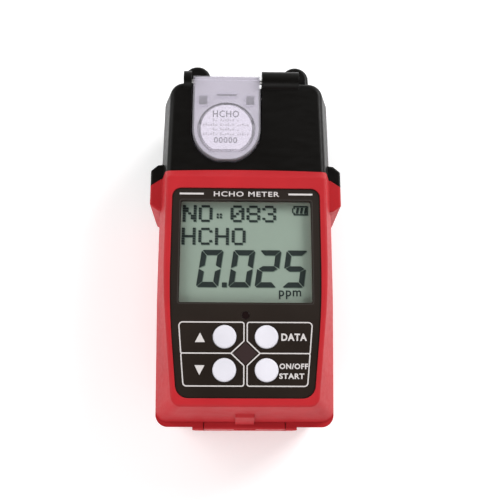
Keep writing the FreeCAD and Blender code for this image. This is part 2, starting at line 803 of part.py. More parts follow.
# ---------------------------------------------------------------- keypad
def make_button(x, y):
    """A round cap with a flange that keeps it behind the case."""
    top = rim_z - button_below_rim
    flange_top = deck_bottom_z - 0.05
    cap = rod(button_diameter / 2, x, y, flange_top - 0.5, top)
    crown = [e for e in cap.Edges if e.BoundBox.ZMin > top - 0.01]
    cap = cap.makeFillet(0.7, crown)
    flange = rod(button_diameter / 2 + flange_lap, x, y, flange_top - flange_thickness, flange_top)
    return joined(cap, flange)


def make_plunger(x, y):
    return rod(plunger_diameter / 2, x, y, plunger_bottom_z, plunger_top_z)


def make_switch(x, y):
    half = switch_side / 2
    body = box(x - half, x + half, y - half, y + half, pcb_top_z, pcb_top_z + switch_height)
    return body.cut(rod(plunger_diameter / 2 + 0.1, x, y, pcb_top_z - 1.0, pcb_top_z + switch_height + 1.0))


def make_indicator_lens():
    lens = rod(indicator_diameter / 2, 0.0, indicator_y, deck_bottom_z - 0.6, panel_top_z - 0.1)
    return joined(lens, rod(indicator_diameter / 2 + 0.25, 0.0, indicator_y, deck_bottom_z - 0.8, deck_bottom_z))


def make_indicator_led():
    return box(-0.9, 0.9, indicator_y - 1.4, indicator_y + 1.4, pcb_top_z, pcb_top_z + 1.1)


# ---------------------------------------------------------------- boards
def make_main_pcb():
    end = lower_row_y - 9.2
    top = window_y + lcd_half_height + lcd_frame_wall + 0.6
    board = slab(rectangle(pcb_half_width, end, top, 1.5, pcb_bottom_z), pcb_top_z)
    for x, y in pcb_screw_places():
        board = board.cut(rod(pcb_screw_radius + 0.2, x, y, pcb_bottom_z - 1.0, pcb_top_z + 1.0))
    return board


def make_pcb_screw(x, y):
    head = rod(1.8, x, y, pcb_bottom_z - 1.4, pcb_bottom_z)
    shank = rod(pcb_screw_radius, x, y, pcb_bottom_z, pcb_top_z + 3.5)
    slot = box(x - 2.0, x + 2.0, y - 0.25, y + 0.25, pcb_bottom_z - 2.0, pcb_bottom_z - 0.9)
    return joined(head, shank).cut(slot)


def make_chips():
    """The processor, memory, amplifier and crystal on the board's underside."""
    places = [
        (0.0, window_y - 8.0, 5.5, 5.5, 1.5),
        (15.0, window_y + 2.0, 3.5, 2.6, 1.3),
        (-15.0, window_y + 4.0, 4.2, 2.6, 1.3),
        (12.0, window_y - 16.0, 2.6, 1.2, 2.4),
    ]
    return [
        box(x - a, x + a, y - b, y + b, pcb_bottom_z - height, pcb_bottom_z)
        for x, y, a, b, height in places
    ]


def make_buzzer():
    x = -13.0
    y = lower_row_y + 2.0
    can = rod(6.0, x, y, pcb_bottom_z - 4.4, pcb_bottom_z)
    return can.cut(rod(1.1, x, y, pcb_bottom_z - 5.0, pcb_bottom_z - 3.2))


def make_optical_block():
    """The black block under the well: a light bore and a detector bore meet below the aperture."""
    top = well_floor_z - well_wall
    block = rod(9.0, sensor_x, sensor_y, optic_bottom_z, top)
    block = block.cut(rod(window_diameter / 2 - 0.6, sensor_x, sensor_y, top - 2.5, top + 1.0))
    block = block.cut(rod(1.7, sensor_x - 3.0 + 0.8, sensor_y, optic_bottom_z - 1.0, top - 2.0))
    return block.cut(rod(1.7, sensor_x + 3.0 - 0.8, sensor_y, optic_bottom_z - 1.0, top - 2.0))


def make_emitter():
    x = sensor_x - 2.2
    return joined(
        rod(1.5, x, sensor_y, optic_bottom_z, optic_bottom_z + 3.0),
        Part.makeSphere(1.5, vec(x, sensor_y, optic_bottom_z + 3.0)),
    )


def make_photodiode():
    return rod(1.55, sensor_x + 2.2, sensor_y, optic_bottom_z, optic_bottom_z + 1.6)


def make_sensor_board():
    board = box(sensor_x - 13.0, sensor_x + 13.0, sensor_y - 11.0, sensor_y + 11.0, optic_bottom_z - 1.6, optic_bottom_z)
    return board


def make_head_ribbon():
    """A flat ribbon from the sensor board to the main board, one strip bent twice."""
    low = optic_bottom_z - 2.0
    start = sensor_y - 9.0
    bend = window_y + lcd_half_height + 5.5
    end = bend - 12.0
    high = pcb_bottom_z - 0.05
    profile = [
        vec(sensor_x - 4, start, low), vec(sensor_x - 4, start, low + 0.4),
        vec(sensor_x - 4, bend + 0.4, low + 0.4), vec(sensor_x - 4, bend + 0.4, high),
        vec(sensor_x - 4, end, high), vec(sensor_x - 4, end, high - 0.4),
        vec(sensor_x - 4, bend, high - 0.4), vec(sensor_x - 4, bend, low),
    ]
    return Part.Face(Part.makePolygon(profile + [profile[0]])).extrude(vec(8, 0, 0))


# ---------------------------------------------------------------- sensor holder
def element_cut(radius, flat, z0, z1):
    disc = rod(radius, sensor_x, sensor_y, z0, z1)
    return disc.cut(box(sensor_x - 20, sensor_x + 20, sensor_y - 30, sensor_y - flat, z0 - 1, z1 + 1))


def make_holder():
    """The frosted flip-up holder, its underside hollowed for the sensor element."""
    ceiling = holder_top_z - holder_plate
    skirt_top = hinge_y - hinge_lug_radius - 0.4
    plate_end = hinge_y - 0.5
    body = slab(u_outline(0.0, holder_bottom_z, skirt_top), holder_top_z)
    left = sensor_x - holder_half_width
    right = sensor_x + holder_half_width
    neck = box(left, right, skirt_top - 0.5, plate_end, hinge_z - 1.6, holder_top_z)
    barrel = rod_x(hinge_barrel_radius, left, right, hinge_y, hinge_z)
    holder = joined(body, neck, barrel)
    rim = [
        e for e in holder.Edges
        if e.BoundBox.ZMin > holder_top_z - 0.01 and e.BoundBox.YMax < plate_end + 0.01]
    holder = holder.makeFillet(0.5, rim)
    cavity_radius = element_diameter / 2 + element_ring
    holder = holder.cut(element_cut(cavity_radius, element_flat + 0.4, holder_bottom_z - 1.0, ceiling))
    ribs = [element_rib(angle, cavity_radius, ceiling) for angle in (20.0, 90.0, 160.0)]
    holder = joined(holder, *ribs)
    for x0, x1, y0, y1 in underside_pockets():
        holder = holder.cut(box(x0, x1, y0, y1, holder_bottom_z - 1.0, ceiling + 0.4))
    return holder.cut(rod_x(hinge_pin_diameter / 2 + pin_clearance, left - 1.0, right + 1.0, hinge_y, hinge_z))


def element_rib(angle, cavity_radius, ceiling):
    """A rib that grips the element's rim."""
    inner = element_diameter / 2
    rib = box(inner, cavity_radius + 0.4, -1.2, 1.2, holder_bottom_z + 0.4, ceiling + 0.1)
    rib.rotate(vec(0, 0, 0), vec(0, 0, 1), angle)
    rib.translate(vec(sensor_x, sensor_y, 0))
    return rib.cut(rod(inner, sensor_x, sensor_y, holder_bottom_z - 1.0, ceiling + 1.0))


def underside_pockets():
    """Two square pockets and a bar-shaped one, seen as darker patches through the holder."""
    y = hinge_y - 9.9
    return [
        (sensor_x - 12.1, sensor_x - 7.9, y - 2.2, y + 2.4),
        (sensor_x + 7.9, sensor_x + 12.1, y - 2.2, y + 2.4),
        (sensor_x - 4.3, sensor_x + 4.3, y + 1.9, y + 3.7),
    ]


def make_element():
    element = element_cut(element_diameter / 2, element_flat, element_bottom_z, element_top_z)
    return element.cut(rod(window_diameter / 2, sensor_x, sensor_y, element_bottom_z - 1.0, element_bottom_z + 1.0))


def make_element_window():
    return rod(window_diameter / 2, sensor_x, sensor_y, element_bottom_z + 0.1, element_bottom_z + 1.0)


def make_holder_pin():
    return rod_x(hinge_pin_diameter / 2, lug_spans()[0][0] + 0.9, lug_spans()[1][1] - 0.9, hinge_y, hinge_z)


# ---------------------------------------------------------------- batteries
def cell_centres():
    first = -(cell_count - 1) * cell_pitch / 2
    return [first + i * cell_pitch for i in range(cell_count)]


def cell_span(i):
    """The cell's two ends along Y, and the direction its positive end points."""
    low = tray_end_y + tray_wall + contact_thickness
    high = tray_top_y - tray_wall - contact_thickness
    if i % 2 == 0:
        return high - cell_length, high, 1
    return low, low + cell_length, -1


def make_cell(i):
    x = cell_centres()[i]
    low, high, way = cell_span(i)
    nub = 1.0
    if way > 0:
        can = rod_y(cell_diameter / 2, x, low, high - nub, cell_z)
        tip = rod_y(2.7, x, high - nub, high, cell_z)
    else:
        can = rod_y(cell_diameter / 2, x, low + nub, high, cell_z)
        tip = rod_y(2.7, x, low, low + nub, cell_z)
    rims = [e for e in can.Edges if e.BoundBox.YMax - e.BoundBox.YMin < 0.01]
    return joined(can.makeFillet(0.5, rims), tip)


def make_spring(i):
    """A conical contact spring drawn as rings joined by short struts."""
    x = cell_centres()[i]
    low, high, way = cell_span(i)
    start = tray_end_y + tray_wall + contact_thickness if way > 0 else tray_top_y - tray_wall - contact_thickness
    pieces = []
    wire = 0.4
    rise = (spring_length - 2 * wire) / 3
    for turn in range(4):
        y = start + way * (wire + turn * rise)
        pieces.append(Part.makeTorus(4.6 - 0.7 * turn, wire, vec(x, y, cell_z), vec(0, 1, 0)))
        if turn < 3:
            lean = vec(-0.7, way * rise, 0)
            pieces.append(Part.makeCylinder(wire * 0.9, lean.Length, vec(x + 4.6 - 0.7 * turn, y, cell_z), lean))
    return joined(*pieces)


def make_contacts():
    """A flat contact at each end of each cell."""
    half = 5.6
    plates = []
    for x in cell_centres():
        for y in (tray_end_y + tray_wall, tray_top_y - tray_wall - contact_thickness):
            plates.append(box(x - half, x + half, y, y + contact_thickness, cell_z - half, cell_z + half))
    return plates


def make_tray():
    """The battery bay's walls and roof, with low ribs between the cells."""
    outer = box(
        -tray_half_width - tray_wall, tray_half_width + tray_wall, tray_end_y, tray_top_y,
        door_floor_z, tray_roof_z + tray_wall)
    inner = box(
        -tray_half_width, tray_half_width, tray_end_y + tray_wall, tray_top_y - tray_wall,
        door_floor_z - 1.0, tray_roof_z)
    tray = outer.cut(inner)
    ribs = []
    for i in range(cell_count - 1):
        x = cell_centres()[i] + cell_pitch / 2
        ribs.append(box(
            x - 0.3, x + 0.3, tray_end_y + tray_wall + 8.0, tray_top_y - tray_wall - 8.0,
            cell_z + 2.5, tray_roof_z + 0.5))
    return joined(tray, *ribs)


def make_door():
    """The battery door: a plate with side lips in the case's grooves and a ribbed thumb patch."""
    envelope = body_rear(0.0, back_edge_round)
    base = door_recess - door_clearance - door_thickness
    plate = box(-door_half_width, door_half_width, bottom_y, door_top_y, base, base + door_thickness)
    lips = box(
        -door_half_width - door_lip, door_half_width + door_lip, bottom_y, door_top_y,
        door_recess - 0.9, base + door_thickness)
    door = joined(plate, lips).common(envelope)
    for i in range(5):
        y = door_top_y - 10.0 - 2.2 * i
        door = door.cut(box(-9.0, 9.0, y, y + 1.0, -1.0, base + 0.5))
    return door


# ---------------------------------------------------------------- bottom flap and sockets
def make_flap():
    """The end flap: a plate on a hinge barrel, with a thumb tab and an inward lip at its free edge."""
    outer = bottom_y + 0.3
    top = parting_z - seam_gap / 2 - 0.3
    plate = box(-flap_half_width, flap_half_width, outer, outer + flap_thickness, flap_hinge_z, top)
    edges = [e for e in plate.Edges if e.BoundBox.YMax < outer + 0.01 and e.BoundBox.ZMin > top - 0.01]
    plate = plate.makeFillet(0.8, edges)
    barrel = rod_x(flap_barrel_radius, -flap_half_width, flap_half_width, flap_hinge_y, flap_hinge_z)
    tab = box(-tab_half_width, tab_half_width, bottom_y, outer + 0.5, top - 4.5, top - 0.6)
    tab_edges = [e for e in tab.Edges if e.BoundBox.YMax < bottom_y + 0.01]
    tab = tab.makeFillet(0.25, tab_edges)
    hook = box(-2.6, 2.6, outer + flap_thickness - 0.2, outer + flap_thickness + 0.9, top - 3.0, top - 1.6)
    lip = box(
        -flap_half_width, flap_half_width, outer + flap_thickness - 0.2, body_end_y + 0.25, top - 1.5, top)
    flap = joined(plate.cut(end_wedge()), barrel, tab, hook, lip)
    return flap.cut(rod_x(
        flap_pin_diameter / 2 + pin_clearance, -flap_half_width - 1, flap_half_width + 1, flap_hinge_y, flap_hinge_z))


def make_flap_pin():
    reach = flap_half_width + bracket_width - 1.2
    return rod_x(flap_pin_diameter / 2, -reach, reach, flap_hinge_y, flap_hinge_z)


def make_io_board():
    return box(-15.5, 15.5, socket_back_y, socket_back_y + 1.6, tray_roof_z + tray_wall + 0.3, parting_z - 4.0)


def make_usb_socket():
    shell = box(usb_x - 3.9, usb_x + 3.9, bay_back_y - 1.2, socket_back_y, socket_z - 1.9, socket_z + 1.9)
    shell = shell.cut(box(usb_x - 3.4, usb_x + 3.4, bay_back_y - 2.0, bay_back_y + 1.2, socket_z - 1.4, socket_z + 1.4))
    tongue = box(usb_x - 2.2, usb_x + 2.2, bay_back_y - 0.7, bay_back_y + 1.4, socket_z - 0.4, socket_z + 0.4)
    return joined(shell, tongue)


def make_dc_jack():
    body = rod_y(4.1, jack_x, bay_back_y - 1.2, socket_back_y, socket_z)
    body = body.cut(rod_y(2.8, jack_x, bay_back_y - 2.0, bay_back_y + 1.2, socket_z))
    return joined(body, rod_y(0.9, jack_x, bay_back_y - 0.9, bay_back_y + 1.4, socket_z))


# ---------------------------------------------------------------- write every part
os.makedirs("parts", exist_ok=True)
save("front_shell", make_front_shell())
save("rear_shell", make_rear_shell())
save("head_front_shell", make_head_front_shell())
save("head_rear_shell", make_head_rear_shell())
save("face_panel", make_face_panel())
save("display_lens", make_display_lens())
save("lcd_glass", make_lcd_glass())
save("lcd_frame", make_lcd_frame())
save("zebra_strip", zebra_box(0.0, pcb_top_z, lcd_bottom_z))
save("lcd_backlight", make_backlight())
for name, place in buttons.items():
    save("button_" + name, make_button(*place))
    save("plunger_" + name, make_plunger(*place))
save("switch_bodies", *[make_switch(x, y) for x, y in buttons.values()])
save("indicator_lens", make_indicator_lens())
save("indicator_led", make_indicator_led())
save("main_pcb", make_main_pcb())
save("pcb_screws", *[make_pcb_screw(x, y) for x, y in pcb_screw_places()])
save("pcb_chips", *make_chips())
save("buzzer", make_buzzer())
save("optical_block", make_optical_block())
save("emitter_led", make_emitter())
save("photodiode", make_photodiode())
save("sensor_board", make_sensor_board())
save("head_ribbon", make_head_ribbon())
save("sensor_holder", make_holder())
save("sensor_element", make_element())
save("element_window", make_element_window())
save("holder_pin", make_holder_pin())
save("holder_detent", Part.makeSphere(ball_radius, detent_place()))
save("case_screws", *[case_screw(x, y) for x, y in body_screws()])
save("head_screws", *[case_screw(x, y) for x, y in head_screws()])
save("joint_screws", *[joint_screw(x) for x in (-joint_screw_x, joint_screw_x)])
save("battery_tray", make_tray())
for i in range(cell_count):
    save("cell_%d" % (i + 1), make_cell(i))
save("battery_springs", *[make_spring(i) for i in range(cell_count)])
save("battery_contacts", *make_contacts())
save("battery_door", make_door())
save("end_flap", make_flap())
save("flap_pin", make_flap_pin())
save("io_board", make_io_board())
save("usb_socket", make_usb_socket())
save("dc_jack", make_dc_jack())
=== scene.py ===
import json
import math

import bpy
from mathutils import Euler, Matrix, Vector


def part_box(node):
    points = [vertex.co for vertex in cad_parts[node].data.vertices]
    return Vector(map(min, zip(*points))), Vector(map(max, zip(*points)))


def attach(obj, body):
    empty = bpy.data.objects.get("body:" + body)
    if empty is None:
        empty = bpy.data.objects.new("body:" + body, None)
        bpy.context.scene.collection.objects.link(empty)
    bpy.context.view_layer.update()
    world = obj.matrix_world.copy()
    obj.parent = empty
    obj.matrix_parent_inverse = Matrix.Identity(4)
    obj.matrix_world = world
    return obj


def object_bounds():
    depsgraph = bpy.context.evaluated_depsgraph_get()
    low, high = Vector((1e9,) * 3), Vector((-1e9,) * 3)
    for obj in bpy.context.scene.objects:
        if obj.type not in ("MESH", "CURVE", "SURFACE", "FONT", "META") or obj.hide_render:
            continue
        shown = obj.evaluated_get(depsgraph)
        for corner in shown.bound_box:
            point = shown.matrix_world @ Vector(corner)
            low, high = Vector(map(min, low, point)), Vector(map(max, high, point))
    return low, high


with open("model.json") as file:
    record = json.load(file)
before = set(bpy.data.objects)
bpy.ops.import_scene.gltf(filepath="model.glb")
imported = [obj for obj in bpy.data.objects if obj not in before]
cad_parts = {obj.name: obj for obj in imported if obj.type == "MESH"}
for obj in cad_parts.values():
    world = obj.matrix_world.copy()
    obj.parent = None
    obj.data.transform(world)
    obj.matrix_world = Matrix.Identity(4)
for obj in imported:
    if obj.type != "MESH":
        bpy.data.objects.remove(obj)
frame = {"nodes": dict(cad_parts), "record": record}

MM = 0.001
LOW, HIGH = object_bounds()


# ------------------------------------------------------------------ places from the frame
PANEL_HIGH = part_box("face_panel")[1]
LENS_LOW, LENS_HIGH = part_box("display_lens")
GLASS_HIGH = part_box("lcd_glass")[1]
ELEMENT_LOW, ELEMENT_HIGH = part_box("sensor_element")
HOLDER_LOW, HOLDER_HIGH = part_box("sensor_holder")
UP_LOW, UP_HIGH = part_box("button_up")
DOWN_LOW, DOWN_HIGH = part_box("button_down")

LENS_LAP = 1.0 * MM
WINDOW_LEFT = LENS_LOW.x + LENS_LAP
WINDOW_RIGHT = LENS_HIGH.x - LENS_LAP
WINDOW_BOTTOM = LENS_LOW.y + LENS_LAP
WINDOW_TOP = LENS_HIGH.y - LENS_LAP
UPPER_ROW = (UP_LOW.y + UP_HIGH.y) / 2
LOWER_ROW = (DOWN_LOW.y + DOWN_HIGH.y) / 2
MIDDLE_ROW = (UPPER_ROW + LOWER_ROW) / 2
PRINT_Z = PANEL_HIGH.z
PRINT_DEPTH = 0.03 * MM
SEGMENT_Z = GLASS_HIGH.z + 0.12 * MM


# ------------------------------------------------------------------ shader building blocks
def new_material(name):
    """A node material and its parts: (material, tree, principled shader, object coordinates)."""
    material = bpy.data.materials.new(name)
    material.use_nodes = True
    tree = material.node_tree
    coords = tree.nodes.new("ShaderNodeTexCoord")
    return material, tree, tree.nodes["Principled BSDF"], coords.outputs["Object"]


def noise(tree, coords, size, detail=4.0, roughness=0.55, stretch=(1.0, 1.0, 1.0)):
    """Noise whose features are about size metres across."""
    mapping = tree.nodes.new("ShaderNodeMapping")
    mapping.inputs["Scale"].default_value = stretch
    tree.links.new(coords, mapping.inputs["Vector"])
    texture = tree.nodes.new("ShaderNodeTexNoise")
    texture.inputs["Scale"].default_value = 1.0 / size
    texture.inputs["Detail"].default_value = detail
    texture.inputs["Roughness"].default_value = roughness
    tree.links.new(mapping.outputs["Vector"], texture.inputs["Vector"])
    return texture.outputs["Fac"]


def remap(tree, value, low, high, to_low, to_high):
    node = tree.nodes.new("ShaderNodeMapRange")
    node.inputs["From Min"].default_value = low
    node.inputs["From Max"].default_value = high
    node.inputs["To Min"].default_value = to_low
    node.inputs["To Max"].default_value = to_high
    tree.links.new(value, node.inputs["Value"])
    return node.outputs["Result"]


def mix_colour(tree, factor, first, second):
    """first and second are colours or sockets; factor is a socket."""
    node = tree.nodes.new("ShaderNodeMix")
    node.data_type = "RGBA"
    tree.links.new(factor, node.inputs["Factor"])
    for socket, value in ((node.inputs[6], first), (node.inputs[7], second)):
        if isinstance(value, bpy.types.NodeSocket):
            tree.links.new(value, socket)
        else:
            socket.default_value = (*value, 1.0)
    return node.outputs[2]


def math_node(tree, operation, first, second):
    node = tree.nodes.new("ShaderNodeMath")
    node.operation = operation
    node.use_clamp = True
    for socket, value in ((node.inputs[0], first), (node.inputs[1], second)):
        if isinstance(value, bpy.types.NodeSocket):
            tree.links.new(value, socket)
        else:
            socket.default_value = value
    return node.outputs[0]


def bump(tree, height, depth, normal=None):
    node = tree.nodes.new("ShaderNodeBump")
    node.inputs["Strength"].default_value = 1.0
    node.inputs["Distance"].default_value = depth
    tree.links.new(height, node.inputs["Height"])
    if normal is not None:
        tree.links.new(normal, node.inputs["Normal"])
    return node.outputs["Normal"]


def soft_edges(tree, radius):
    """A normal that rounds sharp edges, and a mask that is bright on those edges."""
    bevel = tree.nodes.new("ShaderNodeBevel")
    bevel.samples = 4
    bevel.inputs["Radius"].default_value = radius
    geometry = tree.nodes.new("ShaderNodeNewGeometry")
    dot = tree.nodes.new("ShaderNodeVectorMath")
    dot.operation = "DOT_PRODUCT"
    tree.links.new(bevel.outputs["Normal"], dot.inputs[0])
    tree.links.new(geometry.outputs["Normal"], dot.inputs[1])
    return bevel.outputs["Normal"], remap(tree, dot.outputs["Value"], 0.99, 0.8, 0.0, 1.0)


def shade(colour, factor):
    return tuple(min(1.0, channel * factor) for channel in colour)


# ------------------------------------------------------------------ materials
def moulded_plastic(name, colour, roughness, grain=0.35 * MM, depth=0.006 * MM, wear=0.35, gloss=0.35):
    """Injection-moulded plastic: fine spark grain, faint flow blotches, rubbed edges, small scuffs."""
    material, tree, shader, coords = new_material(name)
    blotch = remap(tree, noise(tree, coords, 18 * MM, 3.0), 0.3, 0.7, 0.0, 1.0)
    base = mix_colour(tree, blotch, shade(colour, 0.93), shade(colour, 1.06))
    normal, edges = soft_edges(tree, 0.35 * MM)
    patches = remap(tree, noise(tree, coords, 3 * MM, 6.0), 0.35, 0.75, 0.0, wear)
    rub = math_node(tree, "MULTIPLY", edges, patches)
    lighter = tuple(channel + (0.55 - channel) * 0.35 for channel in colour)
    worn = mix_colour(tree, rub, base, lighter)
    tree.links.new(worn, shader.inputs["Base Color"])
    scuffs = noise(tree, coords, 2.2 * MM, 8.0, 0.7, (0.25, 1.0, 1.0))
    rough = remap(tree, scuffs, 0.35, 0.72, roughness - 0.05, roughness + 0.10)
    tree.links.new(rough, shader.inputs["Roughness"])
    shader.inputs["Specular IOR Level"].default_value = gloss
    grain_height = noise(tree, coords, grain, 2.0, 0.6)
    tree.links.new(bump(tree, grain_height, depth, normal), shader.inputs["Normal"])
    return material


def printed_ink(name, colour):
    """Screen-printed ink: slightly uneven cover and a matt, faintly pitted surface."""
    material, tree, shader, coords = new_material(name)
    cover = remap(tree, noise(tree, coords, 0.5 * MM, 5.0), 0.25, 0.6, 0.0, 1.0)
    tree.links.new(mix_colour(tree, cover, shade(colour, 0.9), colour), shader.inputs["Base Color"])
    tree.links.new(remap(tree, cover, 0.0, 1.0, 0.55, 0.42), shader.inputs["Roughness"])
    height = noise(tree, coords, 0.15 * MM, 3.0)
    tree.links.new(bump(tree, height, 0.003 * MM), shader.inputs["Normal"])
    return material


def overlay_sheet(name):
    """The panel's overlay: warm black, fine matt texture, slightly polished by fingers near the keys."""
    material, tree, shader, coords = new_material(name)
    separate = tree.nodes.new("ShaderNodeSeparateXYZ")
    tree.links.new(coords, separate.inputs["Vector"])
    near_keys = remap(tree, separate.outputs["Y"], MIDDLE_ROW + 22 * MM, MIDDLE_ROW, 0.0, 1.0)
    smear = math_node(tree, "MULTIPLY", near_keys, noise(tree, coords, 9 * MM, 5.0, 0.6))
    cloud = remap(tree, noise(tree, coords, 25 * MM, 2.0), 0.3, 0.7, 0.0, 1.0)
    base = mix_colour(tree, cloud, (0.0165, 0.0112, 0.0085), (0.0215, 0.0150, 0.0115))
    tree.links.new(base, shader.inputs["Base Color"])
    tree.links.new(remap(tree, smear, 0.0, 0.6, 0.40, 0.30), shader.inputs["Roughness"])
    shader.inputs["Specular IOR Level"].default_value = 0.25
    normal, _ = soft_edges(tree, 0.2 * MM)
    height = noise(tree, coords, 0.22 * MM, 2.0)
    tree.links.new(bump(tree, height, 0.004 * MM, normal), shader.inputs["Normal"])
    return material


def clear_window(name):
    """Clear acrylic: see-through, with a grazing reflection and a few hairline scratches."""
    material, tree, shader, coords = new_material(name)
    tree.nodes.remove(shader)
    glossy = tree.nodes.new("ShaderNodeBsdfGlossy")
    clear = tree.nodes.new("ShaderNodeBsdfTransparent")
    clear.inputs["Color"].default_value = (0.95, 0.97, 0.96, 1.0)
    scratches = noise(tree, coords, 1.2 * MM, 8.0, 0.75, (0.12, 1.0, 1.0))
    tree.links.new(remap(tree, scratches, 0.5, 0.75, 0.05, 0.22), glossy.inputs["Roughness"])
    weight = tree.nodes.new("ShaderNodeLayerWeight")
    weight.inputs["Blend"].default_value = 0.12
    factor = remap(tree, weight.outputs["Fresnel"], 0.0, 1.0, 0.015, 0.55)
    mix = tree.nodes.new("ShaderNodeMixShader")
    tree.links.new(factor, mix.inputs[0])
    tree.links.new(clear.outputs[0], mix.inputs[1])
    tree.links.new(glossy.outputs[0], mix.inputs[2])
    tree.links.new(mix.outputs[0], tree.nodes["Material Output"].inputs["Surface"])
    return material


def frosted(name, colour, see_through):
    """Frosted translucent plastic: part of the light goes straight on, the rest scatters."""
    material, tree, shader, coords = new_material(name)
    cloud = remap(tree, noise(tree, coords, 7 * MM, 3.0), 0.3, 0.7, 0.0, 1.0)
    tree.links.new(mix_colour(tree, cloud, shade(colour, 0.95), colour), shader.inputs["Base Color"])
    normal, edges = soft_edges(tree, 0.45 * MM)
    rough = remap(tree, noise(tree, coords, 1.5 * MM, 5.0), 0.3, 0.7, 0.30, 0.44)
    tree.links.new(rough, shader.inputs["Roughness"])
    height = noise(tree, coords, 0.25 * MM, 2.0)
    tree.links.new(bump(tree, height, 0.006 * MM, normal), shader.inputs["Normal"])
    shader.inputs["Subsurface Weight"].default_value = 0.3
    shader.inputs["Subsurface Radius"].default_value = (0.002, 0.002, 0.002)
    clear = tree.nodes.new("ShaderNodeBsdfTransparent")
    clear.inputs["Color"].default_value = (0.95, 0.94, 0.97, 1.0)
    mix = tree.nodes.new("ShaderNodeMixShader")
    tree.links.new(remap(tree, edges, 0.0, 1.0, see_through, see_through * 0.25), mix.inputs[0])
    tree.links.new(shader.outputs[0], mix.inputs[1])
    tree.links.new(clear.outputs[0], mix.inputs[2])
    tree.links.new(mix.outputs[0], tree.nodes["Material Output"].inputs["Surface"])
    return material


def display_glass(name):
    """The display's reflective background: grey-green, a slight tone slope, very fine rubbing."""
    material, tree, shader, coords = new_material(name)
    separate = tree.nodes.new("ShaderNodeSeparateXYZ")
    tree.links.new(coords, separate.inputs["Vector"])
    slope = remap(tree, separate.outputs["Y"], WINDOW_BOTTOM, WINDOW_TOP, 0.0, 1.0)
    base = mix_colour(tree, slope, (0.392, 0.448, 0.388), (0.400, 0.458, 0.398))
    fleck = remap(tree, noise(tree, coords, 0.3 * MM, 2.0), 0.3, 0.7, 0.0, 0.12)
    tree.links.new(mix_colour(tree, fleck, base, (0.42, 0.49, 0.45)), shader.inputs["Base Color"])
    rough = remap(tree, noise(tree, coords, 8 * MM), 0.3, 0.7, 0.36, 0.46)
    tree.links.new(rough, shader.inputs["Roughness"])
    tree.links.new(bump(tree, noise(tree, coords, 0.1 * MM), 0.001 * MM), shader.inputs["Normal"])
    return material


def metal(name, colour, roughness, streak=(1.0, 1.0, 0.08)):
    """Turned or plated metal with drawn streaks and rubbed high spots."""
    material, tree, shader, coords = new_material(name)
    lines = noise(tree, coords, 0.25 * MM, 5.0, 0.6, streak)
    base = mix_colour(tree, lines, shade(colour, 0.8), shade(colour, 1.1))
    tree.links.new(base, shader.inputs["Base Color"])
    rough = remap(tree, lines, 0.3, 0.7, roughness - 0.06, roughness + 0.1)
    tree.links.new(rough, shader.inputs["Roughness"])
    shader.inputs["Metallic"].default_value = 1.0
    normal, _ = soft_edges(tree, 0.12 * MM)
    tree.links.new(bump(tree, lines, 0.002 * MM, normal), shader.inputs["Normal"])
    return material


def circuit_board(name):
    """Solder mask over copper: a fine grid of tracks shows as a lighter relief, with tinned pads."""
    material, tree, shader, coords = new_material(name)
    brick = tree.nodes.new("ShaderNodeTexBrick")
    brick.inputs["Scale"].default_value = 320.0
    brick.inputs["Mortar Size"].default_value = 0.03
    tree.links.new(coords, brick.inputs["Vector"])
    tracks = remap(tree, brick.outputs["Fac"], 0.0, 1.0, 0.0, 0.8)
    base = mix_colour(tree, tracks, (0.010, 0.085, 0.038), (0.030, 0.170, 0.080))
    pads = tree.nodes.new("ShaderNodeTexVoronoi")
    pads.inputs["Scale"].default_value = 260.0
    tree.links.new(coords, pads.inputs["Vector"])
    dots = remap(tree, pads.outputs["Distance"], 0.14, 0.11, 0.0, 1.0)
    tree.links.new(mix_colour(tree, dots, base, (0.60, 0.58, 0.52)), shader.inputs["Base Color"])
    tree.links.new(dots, shader.inputs["Metallic"])
    rough = remap(tree, noise(tree, coords, 4 * MM), 0.3, 0.7, 0.30, 0.45)
    tree.links.new(rough, shader.inputs["Roughness"])
    tree.links.new(bump(tree, tracks, 0.02 * MM), shader.inputs["Normal"])
    return material


def battery_jacket(name):
    """A printed sleeve: dark with a copper-coloured band at the positive end, faint wrinkles."""
    material, tree, shader, coords = new_material(name)
    separate = tree.nodes.new("ShaderNodeSeparateXYZ")
    tree.links.new(coords, separate.inputs["Vector"])
    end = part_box("cell_1")[1].y
    band = remap(tree, separate.outputs["Y"], end - 14.2 * MM, end - 13.8 * MM, 0.0, 1.0)
    base = mix_colour(tree, band, (0.016, 0.018, 0.024), (0.46, 0.20, 0.07))
    tree.links.new(base, shader.inputs["Base Color"])
    wrinkle = noise(tree, coords, 3 * MM, 4.0, 0.6, (1.0, 0.2, 1.0))
    tree.links.new(remap(tree, wrinkle, 0.3, 0.7, 0.22, 0.36), shader.inputs["Roughness"])
    tree.links.new(remap(tree, band, 0.0, 1.0, 0.0, 0.6), shader.inputs["Metallic"])
    tree.links.new(bump(tree, wrinkle, 0.02 * MM), shader.inputs["Normal"])
    return material


def floor_sheet(name):
    """The pale sweep the meter lies on: nearly white paper with a faint tooth and a faint glow."""
    material, tree, shader, coords = new_material(name)
    tooth = noise(tree, coords, 0.6 * MM, 4.0)
    base = mix_colour(tree, tooth, (0.92, 0.92, 0.92), (0.95, 0.95, 0.95))
    tree.links.new(base, shader.inputs["Base Color"])
    tree.links.new(remap(tree, tooth, 0.3, 0.7, 0.7, 0.85), shader.inputs["Roughness"])
    shader.inputs["Emission Color"].default_value = (1.0, 1.0, 1.0, 1.0)
    shader.inputs["Emission Strength"].default_value = FLOOR_GLOW
    tree.links.new(bump(tree, tooth, 0.01 * MM), shader.inputs["Normal"])
    return material


FLOOR_GLOW = 0.26

